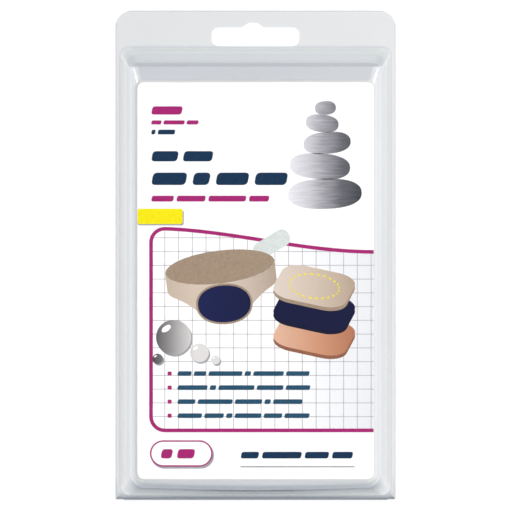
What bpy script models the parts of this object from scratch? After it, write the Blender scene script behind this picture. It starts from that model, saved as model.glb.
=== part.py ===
"""A hinged clear pack with its insert card, and the ball-of-foot wrap that lies folded inside it.

The closed pack lies on its back. +X is to the right of its front, +Y runs to the edge that it hangs by,
and +Z comes out of its front. The origin is under the middle of the pack, on the surface that it lies on.
The wrap lies along Y with its gel pad up. One arm is folded under it and the arm with the hook tab is
folded over, so that both folds stay hidden behind the ends of the card.
"""

import math
from collections import namedtuple

import bmesh
import bpy

# Pressed sheet of the pack
PACK_WIDTH = 0.102
PACK_HEIGHT = 0.1779
SHEET = 0.0004
TRAY_DEPTH = 0.010
TRAY_DRAFT = 0.0020
TRAY_BEND = 0.0025
LIP_BEND = 0.0005
HEADER = 0.01315
SIDE_FLANGE = 0.0015
FOOT_FLANGE = 0.0012
HEADER_CORNER = 0.0060
FOOT_CORNER = 0.0005
WALL_CORNER = 0.0035

# Front half: a leaning wall, a narrow ledge, then a step up to the flat panel
WALL_RISE = 0.0065
WALL_LEAN_TOP = 0.0058
WALL_LEAN_SIDE = 0.0034
WALL_LEAN_FOOT = 0.0030
FOOT_BOW = 0.0014
LEDGE = 0.0010
STEP_RISE = 0.0022
STEP_LEAN_TOP = 0.0059
STEP_LEAN_SIDE = 0.0018
STEP_LEAN_FOOT = 0.0019
PANEL_CORNER = 0.0026
FOOT_LEDGE_CORNER = 0.0055
SHOULDER_BEND = 0.0007

# Hanging slot
SLOT_WIDTH = 0.0319
SLOT_HEIGHT = 0.0068
SLOT_END_RADIUS = 0.0026
SLOT_ABOVE_WALL = 0.0002
BUMP_HALF_WIDTH = 0.0038
BUMP_RISE = 0.0018
BUMP_SHIFT = -0.0010

# Insert card
CARD_THICKNESS = 0.0004
CARD_CORNER = 0.0024
CARD_CLEARANCE = 0.0003

# Ball-of-foot wrap, with reaches measured along the band from the middle of the pad
FABRIC = 0.0012
ARM_WIDTH = 0.0206
ARM_OFFSET = -0.0035
POCKET_LEFT = 0.0264
POCKET_RIGHT = 0.0330
POCKET_LENGTH = 0.112
SEAM_REACH = 0.046
LOOP_END_REACH = 0.088
TAB_SEAM_REACH = 0.092
TAB_LENGTH = 0.032
TAB_TIP_WIDTH = 0.010
FOLD_RADIUS = 0.0013
TAB_TO_PAD = 0.004
FOLD_BEHIND_CARD = 0.0015
LAYER_MARGIN = 0.0015
LAYER_DROP_RUN = 0.012

# Gel pad
PAD_LENGTH = 0.0552
PAD_SHIFT = 0.0026
PAD_THICKNESS = 0.0032
PAD_RIM = 0.0010

# Spaces between pieces
GAP = 0.0003

# How finely round shapes are divided
CORNER_STEPS = 6
BOW_STEPS = 8
BEND_SEGMENTS = 3
FOLD_STEPS = 8
DROP_STEPS = 8
BAND_STEP = 0.0055
PAD_SIDES = 48

MATE_HEIGHT = TRAY_DEPTH + GAP / 2
PANEL_HEIGHT = MATE_HEIGHT + GAP / 2 + SHEET + WALL_RISE + STEP_RISE

Margins = namedtuple("Margins", "top side foot")
Ring = namedtuple("Ring", "margins top_corner foot_corner bow height bend")
Swell = namedtuple("Swell", "along left right")

# How far the band's two edges swell from the arms to the pocket: along is a share of half the pocket's
# length towards the tab, left and right are shares of the way from the arm's edge to the pocket's edge.
POCKET_SWELL = (
    Swell(-1.00, 0.00, 0.00),
    Swell(-0.85, 0.12, 0.03),
    Swell(-0.62, 0.52, 0.26),
    Swell(-0.35, 0.86, 0.70),
    Swell(0.00, 1.00, 1.00),
    Swell(0.25, 0.98, 1.00),
    Swell(0.50, 0.78, 0.66),
    Swell(0.72, 0.42, 0.27),
    Swell(0.88, 0.12, 0.07),
    Swell(1.00, 0.00, 0.00),
)

# Where the section of the band has its points, as shares of its width, and how thick it is there
BAND_SECTION = ((0.00, 0.45), (0.04, 1.00), (0.35, 1.00), (0.65, 1.00), (0.96, 1.00), (1.00, 0.45))

# Rings of the gel pad's crown and of its flat underside, as shares of its radius
CROWN_SHARES = (1.0, 0.97, 0.88, 0.70, 0.45)
UNDERSIDE_SHARES = (0.14, 0.28, 0.42, 0.56, 0.70, 0.82, 0.93)


def clear_scene():
    """Starts from an empty file."""
    for item in list(bpy.data.objects):
        bpy.data.objects.remove(item, do_unlink=True)


def finish_of(name, colour, roughness, alpha=1.0):
    """A plain surface finish, with its colour in linear light."""
    material = bpy.data.materials.new(name)
    material.use_nodes = True
    shader = material.node_tree.nodes["Principled BSDF"]
    shader.inputs["Base Color"].default_value = (*colour, 1.0)
    shader.inputs["Roughness"].default_value = roughness
    shader.inputs["Metallic"].default_value = 0.0
    shader.inputs["Alpha"].default_value = alpha
    return material


def add_object(name, mesh_data, material):
    """Puts a finished mesh in the scene as one named piece."""
    mesh = bpy.data.meshes.new(name)
    mesh_data.to_mesh(mesh)
    mesh_data.free()
    mesh.materials.append(material)
    piece = bpy.data.objects.new(name, mesh)
    bpy.context.collection.objects.link(piece)
    return piece


def smooth_round_faces(piece):
    """Shades the round stretches smooth and keeps the creases."""
    piece.data.shade_smooth()
    piece.data.set_sharp_from_angle(angle=math.radians(35))


def inset_by(margins, top, side, foot):
    """Margins moved further in."""
    return Margins(margins.top + top, margins.side + side, margins.foot + foot)


def arc(centre, radius, start_degrees, end_degrees, steps):
    """Points along an arc, both ends included."""
    points = []
    for step in range(steps + 1):
        angle = math.radians(start_degrees + (end_degrees - start_degrees) * step / steps)
        points.append((centre[0] + radius * math.cos(angle), centre[1] + radius * math.sin(angle)))
    return points


def pack_outline(margins, top_corner, foot_corner, bow=0.0):
    """The pack's rounded outline moved in by the margins, counter-clockwise from the foot's left end.

    The foot edge bows outwards by bow at its middle.
    """
    right = PACK_WIDTH / 2 - margins.side
    top = PACK_HEIGHT / 2 - margins.top
    foot = margins.foot - PACK_HEIGHT / 2
    straight = 2 * (right - foot_corner)
    points = []
    for step in range(1, BOW_STEPS):
        share = step / BOW_STEPS
        drop = bow * (1 - (2 * share - 1) ** 2)
        points.append((straight * (share - 0.5), foot - drop))
    points += arc((right - foot_corner, foot + foot_corner), foot_corner, -90, 0, CORNER_STEPS)
    points += arc((right - top_corner, top - top_corner), top_corner, 0, 90, CORNER_STEPS)
    points += arc((top_corner - right, top - top_corner), top_corner, 90, 180, CORNER_STEPS)
    points += arc((foot_corner - right, foot + foot_corner), foot_corner, 180, 270, CORNER_STEPS)
    return points


def pressed_shell(name, rings, faces_up, material):
    """A sheet pressed through rings, from its rim to its flat panel, thickened towards the inside."""
    mesh = bmesh.new()
    weight_layer = mesh.edges.layers.float.new("bevel_weight_edge")
    widest_bend = max(ring.bend for ring in rings)
    loops = []
    for ring in rings:
        outline = pack_outline(ring.margins, ring.top_corner, ring.foot_corner, ring.bow)
        loops.append([mesh.verts.new((x, y, ring.height)) for x, y in outline])
    for outer, inner in zip(loops, loops[1:]):
        for index in range(len(outer)):
            after = (index + 1) % len(outer)
            mesh.faces.new((outer[index], outer[after], inner[after], inner[index]))
    mesh.faces.new(loops[-1])
    if not faces_up:
        bmesh.ops.reverse_faces(mesh, faces=mesh.faces)
    for ring, loop in zip(rings, loops):
        for index, vertex in enumerate(loop):
            edge = mesh.edges.get((vertex, loop[(index + 1) % len(loop)]))
            edge[weight_layer] = ring.bend / widest_bend
    shell = add_object(name, mesh, material)
    bends = shell.modifiers.new("bends", "BEVEL")
    bends.limit_method = "WEIGHT"
    bends.width = widest_bend
    bends.segments = BEND_SEGMENTS
    wall = shell.modifiers.new("wall", "SOLIDIFY")
    wall.thickness = SHEET
    wall.offset = -1.0
    wall.use_even_offset = True
    return shell


def flange_margins():
    """Where the flat flange ends and the pressed walls of both halves begin."""
    return Margins(HEADER, SIDE_FLANGE, FOOT_FLANGE)


def tray_floor_margins():
    """Where the tray's drafted walls would meet its floor."""
    return inset_by(flange_margins(), TRAY_DRAFT, TRAY_DRAFT, TRAY_DRAFT)


def panel_margins():
    """Where the front's flat panel ends."""
    return inset_by(
        flange_margins(),
        WALL_LEAN_TOP + LEDGE + STEP_LEAN_TOP,
        WALL_LEAN_SIDE + LEDGE + STEP_LEAN_SIDE,
        WALL_LEAN_FOOT + LEDGE + STEP_LEAN_FOOT,
    )


def make_tray(material):
    """The back half: a flange all round a drafted tray with a flat floor."""
    rim = Ring(Margins(0, 0, 0), HEADER_CORNER, FOOT_CORNER, 0.0, TRAY_DEPTH - SHEET, 0.0)
    lip = Ring(flange_margins(), WALL_CORNER, WALL_CORNER, 0.0, TRAY_DEPTH - SHEET, LIP_BEND)
    floor_corner = WALL_CORNER + TRAY_BEND
    floor = Ring(tray_floor_margins(), floor_corner, floor_corner, 0.0, 0.0, TRAY_BEND)
    return pressed_shell("back_shell", (rim, lip, floor), False, material)


def make_front(material):
    """The front half: flange, leaning wall, ledge bowed along its foot, and the raised panel."""
    flange = flange_margins()
    wall_top = inset_by(flange, WALL_LEAN_TOP, WALL_LEAN_SIDE, WALL_LEAN_FOOT)
    ledge = inset_by(wall_top, LEDGE, LEDGE, LEDGE)
    low = MATE_HEIGHT + GAP / 2 + SHEET
    high = low + WALL_RISE
    rings = (
        Ring(Margins(0, 0, 0), HEADER_CORNER, FOOT_CORNER, 0.0, low, 0.0),
        Ring(flange, WALL_CORNER, WALL_CORNER, 0.0, low, LIP_BEND),
        Ring(wall_top, WALL_CORNER, FOOT_LEDGE_CORNER, FOOT_BOW, high, LIP_BEND),
        Ring(ledge, PANEL_CORNER, FOOT_LEDGE_CORNER, FOOT_BOW, high, LIP_BEND),
        Ring(panel_margins(), PANEL_CORNER, PANEL_CORNER, 0.0, PANEL_HEIGHT, SHOULDER_BEND),
    )
    return pressed_shell("front_shell", rings, True, material)


def slot_outline():
    """The hanging slot: a round-ended slot with a shallow arch near its middle."""
    foot = PACK_HEIGHT / 2 - HEADER + SLOT_ABOVE_WALL
    top = foot + SLOT_HEIGHT
    reach = SLOT_WIDTH / 2 - SLOT_END_RADIUS
    radius = SLOT_END_RADIUS
    arch_radius = (BUMP_HALF_WIDTH**2 + BUMP_RISE**2) / (2 * BUMP_RISE)
    arch_angle = math.degrees(math.asin(BUMP_HALF_WIDTH / arch_radius))
    arch_centre = (BUMP_SHIFT, top + BUMP_RISE - arch_radius)
    points = arc((reach, foot + radius), radius, -90, 0, CORNER_STEPS)
    points += arc((reach, top - radius), radius, 0, 90, CORNER_STEPS)
    points += arc(arch_centre, arch_radius, 90 - arch_angle, 90 + arch_angle, 2 * CORNER_STEPS)
    points += arc((-reach, top - radius), radius, 90, 180, CORNER_STEPS)
    points += arc((-reach, foot + radius), radius, 180, 270, CORNER_STEPS)
    return points


def extrude_outline(outline, bottom, top):
    """A flat closed solid between two heights."""
    mesh = bmesh.new()
    face = mesh.faces.new([mesh.verts.new((x, y, bottom)) for x, y in outline])
    lifted = bmesh.ops.extrude_face_region(mesh, geom=[face])["geom"]
    verts = [item for item in lifted if isinstance(item, bmesh.types.BMVert)]
    bmesh.ops.translate(mesh, verts=verts, vec=(0, 0, top - bottom))
    bmesh.ops.recalc_face_normals(mesh, faces=mesh.faces)
    return mesh


def cut_slot(shells, material):
    """Cuts the hanging slot through both flanges."""
    cutter_mesh = extrude_outline(slot_outline(), TRAY_DEPTH / 2, PANEL_HEIGHT + TRAY_DEPTH / 2)
    cutter = add_object("slot_cutter", cutter_mesh, material)
    cutter.hide_render = True
    cutter.display_type = "WIRE"
    for shell in shells:
        cut = shell.modifiers.new("slot", "BOOLEAN")
        cut.operation = "DIFFERENCE"
        cut.solver = "EXACT"
        cut.object = cutter


def card_margins():
    """Where the insert card ends."""
    return inset_by(panel_margins(), CARD_CLEARANCE, CARD_CLEARANCE, CARD_CLEARANCE)


def make_card(material):
    """The insert card, held flat behind the front's panel."""
    top = PANEL_HEIGHT - SHEET - GAP
    outline = pack_outline(card_margins(), CARD_CORNER, CARD_CORNER)
    mesh = extrude_outline(outline, top - CARD_THICKNESS, top)
    return add_object("insert_card", mesh, material)


def low_height():
    """Height of the middle of the fabric where it lies on the tray's floor."""
    return SHEET + GAP + FABRIC / 2


def fold_inset():
    """How far inside the card's edge a fold starts to turn."""
    return FOLD_BEHIND_CARD + FOLD_RADIUS + FABRIC / 2


def upper_fold():
    """Place along Y where the arm with the tab turns over."""
    return PACK_HEIGHT / 2 - card_margins().top - fold_inset()


def lower_fold():
    """Place along Y where the other arm turns under."""
    return card_margins().foot + fold_inset() - PACK_HEIGHT / 2


def tab_end_reach():
    """Reach of the hook tab's tip."""
    return TAB_SEAM_REACH + TAB_LENGTH


def fold_reach():
    """Reach at which the arm turns over, so that the tip of the folded tab stops short of the pad."""
    return (pad_radius(0.0) + TAB_TO_PAD + tab_end_reach() - math.pi * FOLD_RADIUS) / 2


def pad_place():
    """Place of the pad's middle along Y."""
    return upper_fold() - fold_reach()


def drop_start():
    """Place along Y where the layer with the pad starts to drop, just past the arm folded under it."""
    tucked = LOOP_END_REACH - (pad_place() - lower_fold()) - math.pi * FOLD_RADIUS
    return lower_fold() + max(tucked, 0.0) + LAYER_MARGIN


def main_height(y):
    """Height of the fabric's middle in the layer that carries the pad.

    It lies over the arm that is folded under it, and drops to the tray's floor past that arm's end.
    """
    share = min(max((y - drop_start()) / LAYER_DROP_RUN, 0.0), 1.0)
    return low_height() + 2 * FOLD_RADIUS * (1 - share * share * (3 - 2 * share))


def main_slope(y):
    """Angle of that layer, rising towards +Y."""
    step = BAND_STEP / 10
    return math.atan2(main_height(y + step) - main_height(y - step), 2 * step)


def lie(reach):
    """Place along Y, height and angle of the fabric's middle at a reach along the band."""
    y = pad_place() + reach
    if y > upper_fold():
        turned = (y - upper_fold()) / FOLD_RADIUS
        over = min(turned, math.pi)
        place = upper_fold() + FOLD_RADIUS * math.sin(over) - FOLD_RADIUS * (turned - over)
        return place, low_height() + FOLD_RADIUS * (1 - math.cos(over)), over
    if y < lower_fold():
        turned = (lower_fold() - y) / FOLD_RADIUS
        under = min(turned, math.pi)
        place = lower_fold() - FOLD_RADIUS * math.sin(under) + FOLD_RADIUS * (turned - under)
        return place, low_height() + FOLD_RADIUS * (1 + math.cos(under)), under
    return y, main_height(y), main_slope(y)


def eased(rows, along, column):
    """Reads a column of a table of sections at a place between its rows, without a kink."""
    if along <= rows[0].along:
        return getattr(rows[0], column)
    for before, after in zip(rows, rows[1:]):
        if along <= after.along:
            share = (along - before.along) / (after.along - before.along)
            blend = 0.5 * share + 0.5 * share * share * (3 - 2 * share)
            low = getattr(before, column)
            return low + (getattr(after, column) - low) * blend
    return getattr(rows[-1], column)


def band_middle():
    """Where the arms run across the pack, so that the pocket is centred in the tray."""
    return (POCKET_LEFT - POCKET_RIGHT) / 2


def sleeve_edges(reach):
    """Left and right edges of the sleeve: the arms' width, swelling to the pocket under the pad."""
    along = reach / (POCKET_LENGTH / 2)
    arm_left = ARM_WIDTH / 2 - ARM_OFFSET
    arm_right = ARM_WIDTH / 2 + ARM_OFFSET
    left = arm_left + (POCKET_LEFT - arm_left) * eased(POCKET_SWELL, along, "left")
    right = arm_right + (POCKET_RIGHT - arm_right) * eased(POCKET_SWELL, along, "right")
    return band_middle() - left, band_middle() + right


def round_end(reach, end, radius):
    """How much of its half width a band keeps near a round end, from 1 down to a narrow tip."""
    left_over = min(max(abs(end - reach), radius * 0.02), radius)
    return math.sqrt(1 - (1 - left_over / radius) ** 2)


def loop_edges(reach):
    """Edges of the loop panel: the arm's width, with round corners at its free end."""
    left, right = sleeve_edges(reach)
    corner = ARM_WIDTH / 4
    trim = corner * (1 - round_end(reach, -LOOP_END_REACH, corner))
    return left + trim, right - trim


def tab_edges(reach):
    """Edges of the hook tab: it narrows from the arm's width to a round tip."""
    left, right = sleeve_edges(reach)
    middle = (left + right) / 2
    share = (reach - TAB_SEAM_REACH) / TAB_LENGTH
    width = ARM_WIDTH + (TAB_TIP_WIDTH - ARM_WIDTH) * share
    half = width / 2 * round_end(reach, tab_end_reach(), TAB_TIP_WIDTH / 2)
    return middle - half, middle + half


def steps_along(start, end, longest):
    """Even steps along a stretch, none over the longest, both ends included."""
    count = max(1, math.ceil((end - start) / longest - 0.001))
    return [start + (end - start) * step / count for step in range(count + 1)]


def fine_stretches():
    """Where the band bends, as reaches along it, and the longest step between sections there."""
    turn = math.pi * FOLD_RADIUS
    upper = upper_fold() - pad_place()
    lower = lower_fold() - pad_place()
    drop = drop_start() - pad_place()
    return (
        (upper, upper + turn, turn / FOLD_STEPS),
        (lower - turn, lower, turn / FOLD_STEPS),
        (drop, drop + LAYER_DROP_RUN, LAYER_DROP_RUN / DROP_STEPS),
    )


def band_rows(start, end, round_tip=None):
    """Reaches of a band's sections: even on the flat, closer in its bends and round its tip.

    A round tip is given as the reach where it ends and its radius.
    """
    ends = {start, end}
    for first, last, _ in fine_stretches():
        ends.update(place for place in (first, last) if start < place < end)
    rows = {start, end}
    for before, after in zip(sorted(ends), sorted(ends)[1:]):
        longest = BAND_STEP
        for first, last, step in fine_stretches():
            if first < (before + after) / 2 < last:
                longest = min(longest, step)
        rows.update(steps_along(before, after, longest))
    if round_tip:
        tip, radius = round_tip
        inward = radius if tip == start else -radius
        for step in range(CORNER_STEPS):
            rows.add(tip + inward * (1 - math.cos(math.pi / 2 * step / CORNER_STEPS)))
    kept = [start]
    for row in sorted(rows):
        if row - kept[-1] > BAND_STEP / 40:
            kept.append(row)
    kept[-1] = end
    return kept


def make_band(name, rows, edges, thickness, material):
    """A fabric band swept through its sections, with thinner hems along both edges."""
    mesh = bmesh.new()
    sections = []
    for reach in rows:
        y, z, angle = lie(reach)
        left, right = edges(reach)
        upper = []
        lower = []
        for share, part_of_thickness in BAND_SECTION:
            x = left + (right - left) * share
            half = thickness / 2 * part_of_thickness
            upper.append(mesh.verts.new((x, y - math.sin(angle) * half, z + math.cos(angle) * half)))
            lower.append(mesh.verts.new((x, y + math.sin(angle) * half, z - math.cos(angle) * half)))
        sections.append(upper + lower[::-1])
    for before, after in zip(sections, sections[1:]):
        for index in range(len(before)):
            follow = (index + 1) % len(before)
            mesh.faces.new((before[index], before[follow], after[follow], after[index]))
    mesh.faces.new(sections[0][::-1])
    mesh.faces.new(sections[-1])
    bmesh.ops.recalc_face_normals(mesh, faces=mesh.faces)
    return add_object(name, mesh, material)


def pad_radius(angle):
    """Radius of the pad's rounded outline; angle 0 points to the tab, a quarter turn to the right."""
    lean = angle - math.pi / 4
    return PAD_LENGTH / 2 * (1 + 0.05 * math.cos(lean) + 0.02 * math.cos(2 * lean) + 0.035 * math.cos(3 * lean))


def pad_point(share, step, lift):
    """A point of the pad at a share of its radius, lifted off the fabric under it."""
    angle = 2 * math.pi * step / PAD_SIDES
    x = band_middle() + PAD_SHIFT + share * pad_radius(angle) * math.sin(angle)
    y = pad_place() + share * pad_radius(angle) * math.cos(angle)
    fabric_top = main_height(y) + FABRIC / 2 / math.cos(main_slope(y))
    return x, y, fabric_top + GAP + lift


def make_pad(material):
    """The gel pad: a low crown with a thin rim, lying on the sleeve and following it."""
    mesh = bmesh.new()
    loops = []
    for share in UNDERSIDE_SHARES:
        loops.append([mesh.verts.new(pad_point(share, step, 0.0)) for step in range(PAD_SIDES)])
    loops.append([mesh.verts.new(pad_point(1.0, step, 0.0)) for step in range(PAD_SIDES)])
    for share in CROWN_SHARES:
        lift = PAD_RIM + (PAD_THICKNESS - PAD_RIM) * math.sqrt(1 - share**4)
        loops.append([mesh.verts.new(pad_point(share, step, lift)) for step in range(PAD_SIDES)])
    for before, after in zip(loops, loops[1:]):
        for index in range(PAD_SIDES):
            follow = (index + 1) % PAD_SIDES
            mesh.faces.new((before[index], before[follow], after[follow], after[index]))
    for loop, lift in ((loops[0], 0.0), (loops[-1], PAD_THICKNESS)):
        centre = mesh.verts.new(pad_point(0.0, 0, lift))
        for index in range(PAD_SIDES):
            mesh.faces.new((loop[index], loop[(index + 1) % PAD_SIDES], centre))
    bmesh.ops.recalc_face_normals(mesh, faces=mesh.faces)
    return add_object("gel_pad", mesh, material)


def make_wrap(knit, loops, gel, hooks):
    """The wrap: sleeve, loop panel, gel pad and hook tab, end to end with sewn gaps between them."""
    sleeve_rows = band_rows(-SEAM_REACH + GAP / 2, TAB_SEAM_REACH - GAP / 2)
    loop_start = -LOOP_END_REACH
    loop_rows = band_rows(loop_start, -SEAM_REACH - GAP / 2, (loop_start, ARM_WIDTH / 4))
    tab_tip = (tab_end_reach(), TAB_TIP_WIDTH / 2)
    tab_rows = band_rows(TAB_SEAM_REACH + GAP / 2, tab_end_reach(), tab_tip)
    return (
        make_band("sleeve", sleeve_rows, sleeve_edges, FABRIC, knit),
        make_band("loop_panel", loop_rows, loop_edges, FABRIC, loops),
        make_pad(gel),
        make_band("hook_tab", tab_rows, tab_edges, FABRIC, hooks),
    )


def make_pack():
    """Builds every piece at its place."""
    clear_scene()
    clear_sheet = finish_of("clear_pet", (0.80, 0.84, 0.83), 0.06, alpha=0.25)
    board = finish_of("coated_board", (0.88, 0.88, 0.87), 0.35)
    knit = finish_of("beige_knit", (0.50, 0.40, 0.32), 0.85)
    loops = finish_of("beige_loop_fabric", (0.52, 0.43, 0.35), 0.92)
    gel = finish_of("navy_gel", (0.008, 0.014, 0.080), 0.30)
    hooks = finish_of("grey_hook_tape", (0.66, 0.69, 0.67), 0.60)
    shells = (make_tray(clear_sheet), make_front(clear_sheet))
    cut_slot(shells, clear_sheet)
    pieces = [*shells, make_card(board), *make_wrap(knit, loops, gel, hooks)]
    for piece in pieces:
        smooth_round_faces(piece)


make_pack()
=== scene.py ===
import math
from collections import namedtuple

import bmesh
import bpy
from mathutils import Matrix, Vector, noise


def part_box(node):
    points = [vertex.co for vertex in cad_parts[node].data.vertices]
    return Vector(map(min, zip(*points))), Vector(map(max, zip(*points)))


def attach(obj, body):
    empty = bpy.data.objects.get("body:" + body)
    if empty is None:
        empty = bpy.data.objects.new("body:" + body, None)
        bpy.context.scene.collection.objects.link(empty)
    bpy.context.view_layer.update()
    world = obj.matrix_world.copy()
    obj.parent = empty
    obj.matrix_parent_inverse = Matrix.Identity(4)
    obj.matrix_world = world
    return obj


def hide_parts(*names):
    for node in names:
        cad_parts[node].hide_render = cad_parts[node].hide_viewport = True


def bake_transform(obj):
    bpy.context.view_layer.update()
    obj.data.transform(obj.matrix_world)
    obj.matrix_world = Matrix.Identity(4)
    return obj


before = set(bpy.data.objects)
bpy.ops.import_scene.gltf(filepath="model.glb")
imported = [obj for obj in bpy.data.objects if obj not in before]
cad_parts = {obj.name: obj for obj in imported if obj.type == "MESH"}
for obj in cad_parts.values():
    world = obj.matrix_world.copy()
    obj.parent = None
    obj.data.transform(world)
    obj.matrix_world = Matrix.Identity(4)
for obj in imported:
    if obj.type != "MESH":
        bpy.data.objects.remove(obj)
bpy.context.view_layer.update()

# The finish of a clear hinged pack that lies on its back, of its printed card, and of the ball-of-foot
# wrap folded inside it. Sizes are in metres, and places come from the frame.

MM = 0.001
TURN = 2 * math.pi

# Pressed sheet of the pack
SHEET = 0.0004
TRAY_DRAFT = 0.0020
TRAY_BEND = 0.0025
LIP_BEND = 0.0005
HEADER = 0.01315
SIDE_FLANGE = 0.0015
FOOT_FLANGE = 0.0012
HEADER_CORNER = 0.0060
FOOT_CORNER = 0.0005
WALL_CORNER = 0.0035
WALL_RISE = 0.0065
WALL_LEAN_TOP = 0.0058
WALL_LEAN_SIDE = 0.0034
WALL_LEAN_FOOT = 0.0030
FOOT_BOW = 0.0014
LEDGE = 0.0010
STEP_LEAN_TOP = 0.0059
STEP_LEAN_SIDE = 0.0018
STEP_LEAN_FOOT = 0.0019
PANEL_CORNER = 0.0026
FOOT_LEDGE_CORNER = 0.0055
SHOULDER_BEND = 0.0007
SLOT_HEIGHT = 0.0068
SLOT_WIDTH = 0.0319
SLOT_END_RADIUS = 0.0026
SLOT_ABOVE_WALL = 0.0002
BUMP_HALF_WIDTH = 0.0038
BUMP_RISE = 0.0018
BUMP_SHIFT = -0.0010
RIM = 0.0004
CORNER_STEPS = 14
BOW_STEPS = 16
BEND_SEGMENTS = 5
SIDE_END = 0.0085

# How deep the sheet's tone is, from 0 to 1: its own grey-green tint on the flange, and painted shade at the
# left side over the right, on the tray's floor, on the rim, within a reach of the hinge, on the ledge, on the
# ledge and the step at the top, and on the flange, the ledge's outer and inner bends and the step at the foot
FLANGE_DEPTH = 0.085
LEFT_PAINTED_SHADE = 0.018
FLOOR_PAINTED_SHADE = 0.036
RIM_PAINTED_SHADE = 0.20
HINGE_REACH = 0.0008
HINGE_PAINTED_SHADE = 0.42
LEDGE_PAINTED_SHADE = 0.045
TOP_LEDGE_PAINTED_SHADE = 0.34
TOP_STEP_PAINTED_SHADE = 0.20
FOOT_FLANGE_PAINTED_SHADE = 0.35
FOOT_BEND_PAINTED_SHADE = 0.92
FOOT_INNER_PAINTED_SHADE = 0.36
FOOT_STEP_PAINTED_SHADE = 0.16
TINT_AND_PAINTED_SHADE = "tone_depth"

# Card and its print
CARD_CORNER = 0.0024
CARD_EDGE = 0.00008
INK = 0.00002
GRID_PITCH = 0.0050
GRID_LINE = 0.00030
RULE = 0.00135

# Wrap, with reaches measured along the band from the middle of the pad
ARM_WIDTH = 0.0206
ARM_OFFSET = -0.0035
POCKET_LEFT = 0.0264
POCKET_RIGHT = 0.0330
POCKET_LENGTH = 0.112
SEAM_REACH = 0.046
LOOP_END_REACH = 0.088
TAB_SEAM_REACH = 0.092
TAB_LENGTH = 0.032
TAB_TIP_WIDTH = 0.010
LAYER_MARGIN = 0.0015
LAYER_DROP_RUN = 0.012
PAD_LENGTH = 0.0552
PAD_SHIFT = 0.0026
PAD_RIM = 0.0010
GAP = 0.0003

# Camera: the hanging slot gives the picture's scale
PICTURE_PIXELS = 512
MM_PER_PIXEL = 0.3643
PICTURE_WIDTH = PICTURE_PIXELS * MM_PER_PIXEL * MM
CAMERA_DISTANCE = 4.0
CAMERA_SENSOR = 36.0
CAMERA_SHIFT = (0.00015, -0.00038)

Margins = namedtuple("Margins", "top side foot")
Ring = namedtuple("Ring", "margins top_corner foot_corner bow height bend")
Swell = namedtuple("Swell", "along left right")

POCKET_SWELL = (
    Swell(-1.00, 0.00, 0.00),
    Swell(-0.85, 0.12, 0.03),
    Swell(-0.62, 0.52, 0.26),
    Swell(-0.35, 0.86, 0.70),
    Swell(0.00, 1.00, 1.00),
    Swell(0.25, 0.98, 1.00),
    Swell(0.50, 0.78, 0.66),
    Swell(0.72, 0.42, 0.27),
    Swell(0.88, 0.12, 0.07),
    Swell(1.00, 0.00, 0.00),
)

PACK_LOW, PACK_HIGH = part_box("back_shell")
FRONT_LOW, FRONT_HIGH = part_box("front_shell")
CARD_LOW, CARD_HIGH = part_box("insert_card")
SLEEVE_LOW, SLEEVE_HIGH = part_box("sleeve")
LOOP_LOW, LOOP_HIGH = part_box("loop_panel")
PAD_LOW, PAD_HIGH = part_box("gel_pad")
TAB_LOW, TAB_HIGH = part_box("hook_tab")
PACK_WIDTH = PACK_HIGH[0] - PACK_LOW[0]
PACK_HEIGHT = PACK_HIGH[1] - PACK_LOW[1]
PANEL_HEIGHT = FRONT_HIGH[2]
CARD_MIDDLE = (CARD_LOW[1] + CARD_HIGH[1]) / 2
CARD_FACE = CARD_HIGH[2]
FABRIC = TAB_HIGH[2] - TAB_LOW[2]
FOLD_RADIUS = (LOOP_HIGH[2] - LOOP_LOW[2] - FABRIC) / 2
LOW_HEIGHT = SLEEVE_LOW[2] + FABRIC / 2
UPPER_FOLD = SLEEVE_HIGH[1] - FOLD_RADIUS - FABRIC / 2
LOWER_FOLD = LOOP_LOW[1] + FOLD_RADIUS + FABRIC / 2
PAD_PLACE = SLEEVE_LOW[1] + SEAM_REACH - GAP / 2
PAD_THICKNESS = PAD_HIGH[2] - PAD_LOW[2]
BAND_MIDDLE = (POCKET_LEFT - POCKET_RIGHT) / 2


# Materials


def linear(hex_colour):
    """A colour given as sRGB hex, in linear light with full alpha."""
    channels = [int(hex_colour[place:place + 2], 16) / 255 for place in (1, 3, 5)]
    return [c / 12.92 if c <= 0.04045 else ((c + 0.055) / 1.055) ** 2.4 for c in channels] + [1.0]


def add(tree, kind, inputs=None, **settings):
    """Adds a node. Its inputs are values, or (node, output) to link; its settings are attributes."""
    node = tree.nodes.new(kind)
    for name, value in settings.items():
        setattr(node, name, value)
    for name, value in (inputs or {}).items():
        if isinstance(value, tuple) and isinstance(value[0], bpy.types.Node):
            tree.links.new(value[0].outputs[value[1]], node.inputs[name])
        else:
            node.inputs[name].default_value = value
    return node


def new_material(name):
    """An empty node material and its output."""
    material = bpy.data.materials.new(name)
    material.use_nodes = True
    tree = material.node_tree
    tree.nodes.clear()
    return material, tree, tree.nodes.new("ShaderNodeOutputMaterial")


def set_ramp(ramp, stops):
    """Sets a colour ramp's stops from (place, sRGB hex) pairs."""
    elements = ramp.color_ramp.elements
    while len(elements) > 1:
        elements.remove(elements[-1])
    elements[0].position, elements[0].color = stops[0][0], linear(stops[0][1])
    for place, colour in stops[1:]:
        elements.new(place).color = linear(colour)


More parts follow.
